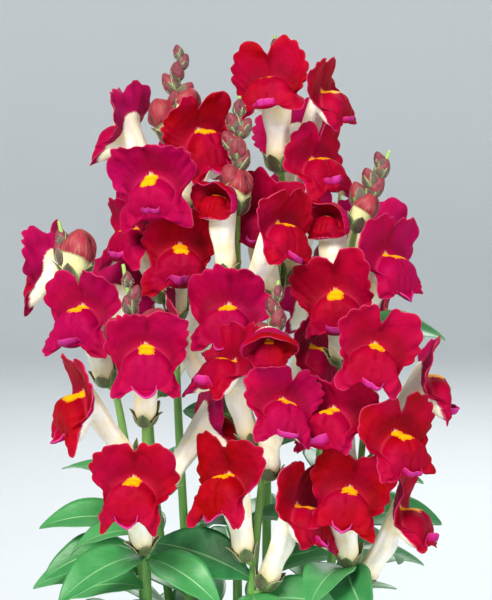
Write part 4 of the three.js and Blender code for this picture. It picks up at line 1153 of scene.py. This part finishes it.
def sepal_places(matrix, size, shade, draw):
    """Five sepals round a tube or a bud, at even turns with a little play."""
    step = 360 / SEPALS
    first = draw.uniform(0, step)
    turns = [first + step * k + draw.normal(0, 4) for k in range(SEPALS)]
    return [(matrix @ ALONG_TUBE @ Matrix.Rotation(math.radians(t), 4, "Z") @ Matrix.Scale(size, 4),
             shade * draw.uniform(0.7, 1.3)) for t in turns]


def copy_of(piece, name):
    """A second piece with a mesh of its own."""
    made = piece.copy()
    made.data = piece.data.copy()
    made.name = name
    bpy.context.scene.collection.objects.link(made)
    return made


def with_down(piece, name, per_square_metre, seed, solid):
    """Ties a green piece to the frame along with its hairs, and hides its stem's solid."""
    hairs = run_tree(copy_of(piece, name), DOWN, hair_length=HAIR["length"] * MM,
                     hair_radius=HAIR["radius"] * MM, per_square_metre=per_square_metre, seed=seed,
                     material=DOWN_SKIN)
    for green in (hairs, piece):
        belongs(green, solid)


def leafy_stem(index, name, stem):
    """A stem with all that grows from it: its flowers, calyces, buds and leaves."""
    draw = np.random.default_rng(SEEDS["stems"] + index)
    path, solid = stem["path"], f"stem_{name}"
    joints, sepals = [], []
    for number, (height, direction, tilt, size, opening) in enumerate(stem["blooms"], start=1):
        joint = on_stem(path, height)
        away = Vector((PEDICEL["reach"] * math.sin(math.radians(direction)),
                       -PEDICEL["reach"] * math.cos(math.radians(direction)), PEDICEL["rise"]))
        matrix = placing(joint + away, direction, tilt, size)
        joints.append((joint, matrix))
        sepals += sepal_places(matrix, 1.0, FLUSH["bloom"], draw)
        seed = SEEDS["blooms"] + 20 * index + number
        belongs(bloom_piece(f"corolla_{name}_{number}", matrix, opening, seed),
                f"bloom_{name}_{number}")
    long_buds, knobs, bud_sepals = [], [], []
    for height, direction, tilt, length in stem["buds"]:
        matrix = placing(on_stem(path, height), direction, tilt)
        along = matrix @ ALONG_TUBE
        if length >= LONG_BUD:
            ripe = min(1.0, 0.45 + (length - LONG_BUD) / 9)  # fully red from 22 mm on
            long_buds.append((along @ Matrix.Scale(length, 4), ripe))
            clasp = Matrix.Translation((0, 0, 0.11 * length + 1.0))  # just above the bud's narrow foot
            base = along @ clasp @ ALONG_TUBE.inverted()
            sepals += sepal_places(base, LONG_BUD_CALYX * length, FLUSH["long_bud"], draw)
        else:
            ripe = max(0.0, (length - 9) / 8)  # quite young up to 9 mm
            knobs.append((along @ Matrix.Scale(length, 4), ripe))
            bud_sepals += sepal_places(matrix, length, FLUSH["knob"], draw)
    leaves = [(placing(on_stem(path, height), direction, rise)
               @ Matrix.Rotation(math.radians(roll), 4, "Y") @ Matrix.Scale(length, 4), draw.uniform(0, 1))
              for height, direction, rise, length, roll in stem["leaves"]]
    seed = 10 * index
    belongs(stalk_piece(f"stalk_{name}", path, joints), solid)
    blades = grow(f"leaves_{name}", LEAVES, leaves, LEAF_SKIN, seed, size_spread=0.02, turn_spread=0.12)
    belongs(blades, solid)
    calyces = grow(f"sepals_{name}", SEPAL_SHAPES, sepals, SEPAL_SKIN, seed + 1, size_spread=0.04)
    with_down(calyces, f"down_sepals_{name}", HAIR["on_sepals"], seed + 4, solid)
    if long_buds:
        buds = grow(f"buds_{name}", LONG_BUDS, long_buds, BUD_SKIN, seed + 2, size_spread=0.02)
        belongs(buds, solid)
    wraps = grow(f"bud_sepals_{name}", BUD_SEPALS, bud_sepals, SEPAL_SKIN, seed + 6, size_spread=0.04)
    with_down(wraps, f"down_bud_sepals_{name}", HAIR["on_buds"], seed + 7, solid)
    green_buds = grow(f"knobs_{name}", KNOBS, knobs, BUD_SKIN, seed + 3, size_spread=0.04)
    with_down(green_buds, f"down_knobs_{name}", HAIR["on_buds"], seed + 5, solid)


for index, (name, stem) in enumerate(STEMS.items()):
    leafy_stem(index, name, stem)

for shapes in (LEAVES, SEPAL_SHAPES, BUD_SEPALS, LONG_BUDS, KNOBS):
    for shape in list(shapes.objects):
        bpy.data.objects.remove(shape)
    bpy.data.collections.remove(shapes)

# ---- Pot and soil ----

POT = {"height": 122, "top_radius": 78, "foot_radius": 54, "rim_height": 22, "rim_step": 4, "wall": 5,
       "floor": 7, "sides": 96}
SOIL = {"level": 110, "mound": 3, "clearance": 0.4, "sides": 90, "lumps": 70}
CRUMB = {"size": 1.5, "per_square_metre": 160000.0}


def round_rings(radius, height, sides):
    """Rings round the Z axis, one for each radius and height."""
    angle = np.arange(sides) * math.tau / sides
    radius, height = np.array(radius, float)[:, None], np.array(height, float)[:, None]
    return np.stack([radius * np.cos(angle), radius * np.sin(angle),
                     np.broadcast_to(height, (len(radius), sides))], axis=-1)


def wall_radius(height):
    """Radius of the outside of the pot's flared wall at a height."""
    return blend(POT["foot_radius"], POT["top_radius"] - POT["rim_step"], height / POT["height"])


def clay_pot():
    """A thrown clay pot: rounded foot, flared wall, a thick rim with softened edges, open inside."""
    foot, floor, top = POT["foot_radius"], POT["floor"], POT["height"]
    rim_foot = top - POT["rim_height"]
    outer, inner = POT["top_radius"], POT["top_radius"] - POT["rim_step"] - POT["wall"]
    under, inner_foot = wall_radius(rim_foot), wall_radius(floor) - POT["wall"]
    profile = [(20, 0), (foot - 3, 0), (foot - 1, 0.5), (foot + 0.2, 2.2)]
    profile += [(wall_radius(h), h) for h in (6, 18, 34, 50, 66, 82, 94)]
    profile += [(under, rim_foot - 1.5), (under + 0.8, rim_foot - 0.3), (under + 2.6, rim_foot),
                (under + 3.7, rim_foot + 0.8), (under + 4.1, rim_foot + 2.4)]
    profile += [(blend(under + 4.1, outer, s), blend(rim_foot + 2.4, top - 3, s)) for s in (0.3, 0.65, 1)]
    profile += [(outer - 0.4, top - 1.2), (outer - 1.6, top - 0.2), (outer - 3.4, top)]
    profile += [(inner + 2.2, top), (inner + 0.8, top - 0.5), (inner, top - 2)]
    profile += [(blend(inner, inner_foot, s), blend(top - 2, floor + 2, s)) for s in (0.1, 0.3, 0.6, 1)]
    profile += [(inner_foot - 2, floor), (20, floor)]
    rings = round_rings(*zip(*profile), POT["sides"])
    points, faces, uvs = skin(rings, (0, 0, 0), (0, 0, floor))
    return new_piece("clay_pot", points, faces, uvs, terracotta())


def soil_bed():
    """Soil to a little below the rim: uneven on top, and plain where the pot hides it."""
    inner_top = POT["top_radius"] - POT["rim_step"] - POT["wall"]
    inner_foot = wall_radius(POT["floor"]) - POT["wall"]
    level = SOIL["level"]
    share = (level - POT["floor"]) / (POT["height"] - POT["floor"])
    radius = blend(inner_foot, inner_top, share) - SOIL["clearance"]
    foot = POT["floor"] + SOIL["clearance"]
    profile = [(inner_foot - 3, foot), (blend(inner_foot - 1, radius, 0.5), level * 0.5),
               (radius, level - 2)]
    profile += [(radius * s, level + SOIL["mound"] * ease((1 - s) / 0.4))
                for s in np.linspace(0.99, 0.04, 22)]
    rings = round_rings(*zip(*profile), SOIL["sides"])
    draw = np.random.default_rng(SEEDS["soil"])
    for _ in range(SOIL["lumps"]):
        x, y = draw.uniform(-radius, radius, 2)
        width, height = draw.uniform(3, 9), draw.normal(0, 0.9)
        distance = np.hypot(rings[..., 0] - x, rings[..., 1] - y)
        rings[3:, :, 2] += (height * bell(distance, width))[3:]
    points, faces, uvs = skin(rings, (0, 0, foot), (0, 0, rings[-1, :, 2].mean()))
    bed = np.zeros(rings.shape[:2])
    bed[4:] = 1.0
    return new_piece("soil_bed", points, faces, uvs, potting_soil(), bed=with_ends(bed, 0, 1),
                     shade=np.full(len(points), 0.6))


belongs(clay_pot(), "pot")
bed = soil_bed()
crumbs = run_tree(copy_of(bed, "soil_crumbs"), CRUMBS, crumb_size=CRUMB["size"] * MM,
                  per_square_metre=CRUMB["per_square_metre"], seed=SEEDS["crumbs"],
                  material=bed.data.materials[0])
belongs(bed, "soil")
belongs(crumbs, "soil")

# ---- Stage: floor, light and camera ----

COVE = {"floor_radius": 2600, "bend": 600, "height": 1700, "sides": 96}
# What follows is in metres, watts and degrees.
AIM = Vector((0, 0, 0.301))
LAMPS = {
    "key_light": {"place": (-0.8, -1.7, 1.75), "power": 78, "width": 1.0, "colour": "#FFF8EE"},
    "fill_light": {"place": (1.4, -1.9, 0.7), "power": 26, "width": 1.2, "colour": "#F2F6FF"},
    "back_light": {"place": (0.5, 1.7, 1.6), "power": 27, "width": 1.0, "colour": "#FFFFFF"},
}
ROOM = {"colour": "#D8E0E6", "strength": 0.36}
# The view: 5 degrees above the middle of the flowers, from 1.4 m, with a field 282 mm high there.
VIEW = {"distance": 1.4, "elevation": 5, "field": 0.282, "sensor": 24}


def studio_cove():
    """A round sweep of paper: a flat floor that bends up into a low wall, so that no edge shows."""
    bend = np.radians(np.linspace(0, 90, 13))
    flat = [300, 1200, COVE["floor_radius"] - 200]
    radius = flat + list(COVE["floor_radius"] + COVE["bend"] * np.sin(bend))
    height = [0] * len(flat) + list(COVE["bend"] * (1 - np.cos(bend)))
    rings = round_rings(radius + [radius[-1]], height + [COVE["height"]], COVE["sides"])
    here = np.arange(COVE["sides"])
    after = (here + 1) % COVE["sides"]
    faces = [here.tolist()]
    for row in range(len(rings) - 1):
        low, high = row * COVE["sides"], (row + 1) * COVE["sides"]
        faces += np.stack([low + here, high + here, high + after, low + after], axis=1).tolist()
    return new_piece("floor", rings.reshape(-1, 3), faces, material=studio_paper())


def aimed(name, data, place):
    """A lamp or camera at a place, turned to the middle of the flowers."""
    made = bpy.data.objects.new(name, data)
    made.location = place
    made.rotation_euler = (AIM - made.location).to_track_quat("-Z", "Y").to_euler()
    bpy.context.scene.collection.objects.link(made)
    return made


def soft_light(name, place, power, width, colour):
    """A round lamp that the camera doesn't see."""
    lamp = bpy.data.lights.new(name, "AREA")
    lamp.shape = "DISK"
    lamp.size = width
    lamp.energy = power
    lamp.color = linear(colour)[:3]
    aimed(name, lamp, place).visible_camera = False


studio_cove()
for name, lamp in LAMPS.items():
    soft_light(name, **lamp)

world = bpy.data.worlds.new("soft room light")
world.use_nodes = True
background = world.node_tree.nodes["Background"].inputs
background["Color"].default_value = linear(ROOM["colour"])
background["Strength"].default_value = ROOM["strength"]
bpy.context.scene.world = world
bpy.context.scene.view_settings.view_transform = "Standard"  # shows each colour as it is

camera = bpy.data.cameras.new("camera")
camera.sensor_fit = "VERTICAL"
camera.sensor_height = VIEW["sensor"]
camera.lens = VIEW["sensor"] * VIEW["distance"] / VIEW["field"]
outwards = Vector((0, -cosine(VIEW["elevation"]), sine(VIEW["elevation"])))
bpy.context.scene.camera = aimed("camera", camera, AIM + VIEW["distance"] * outwards)
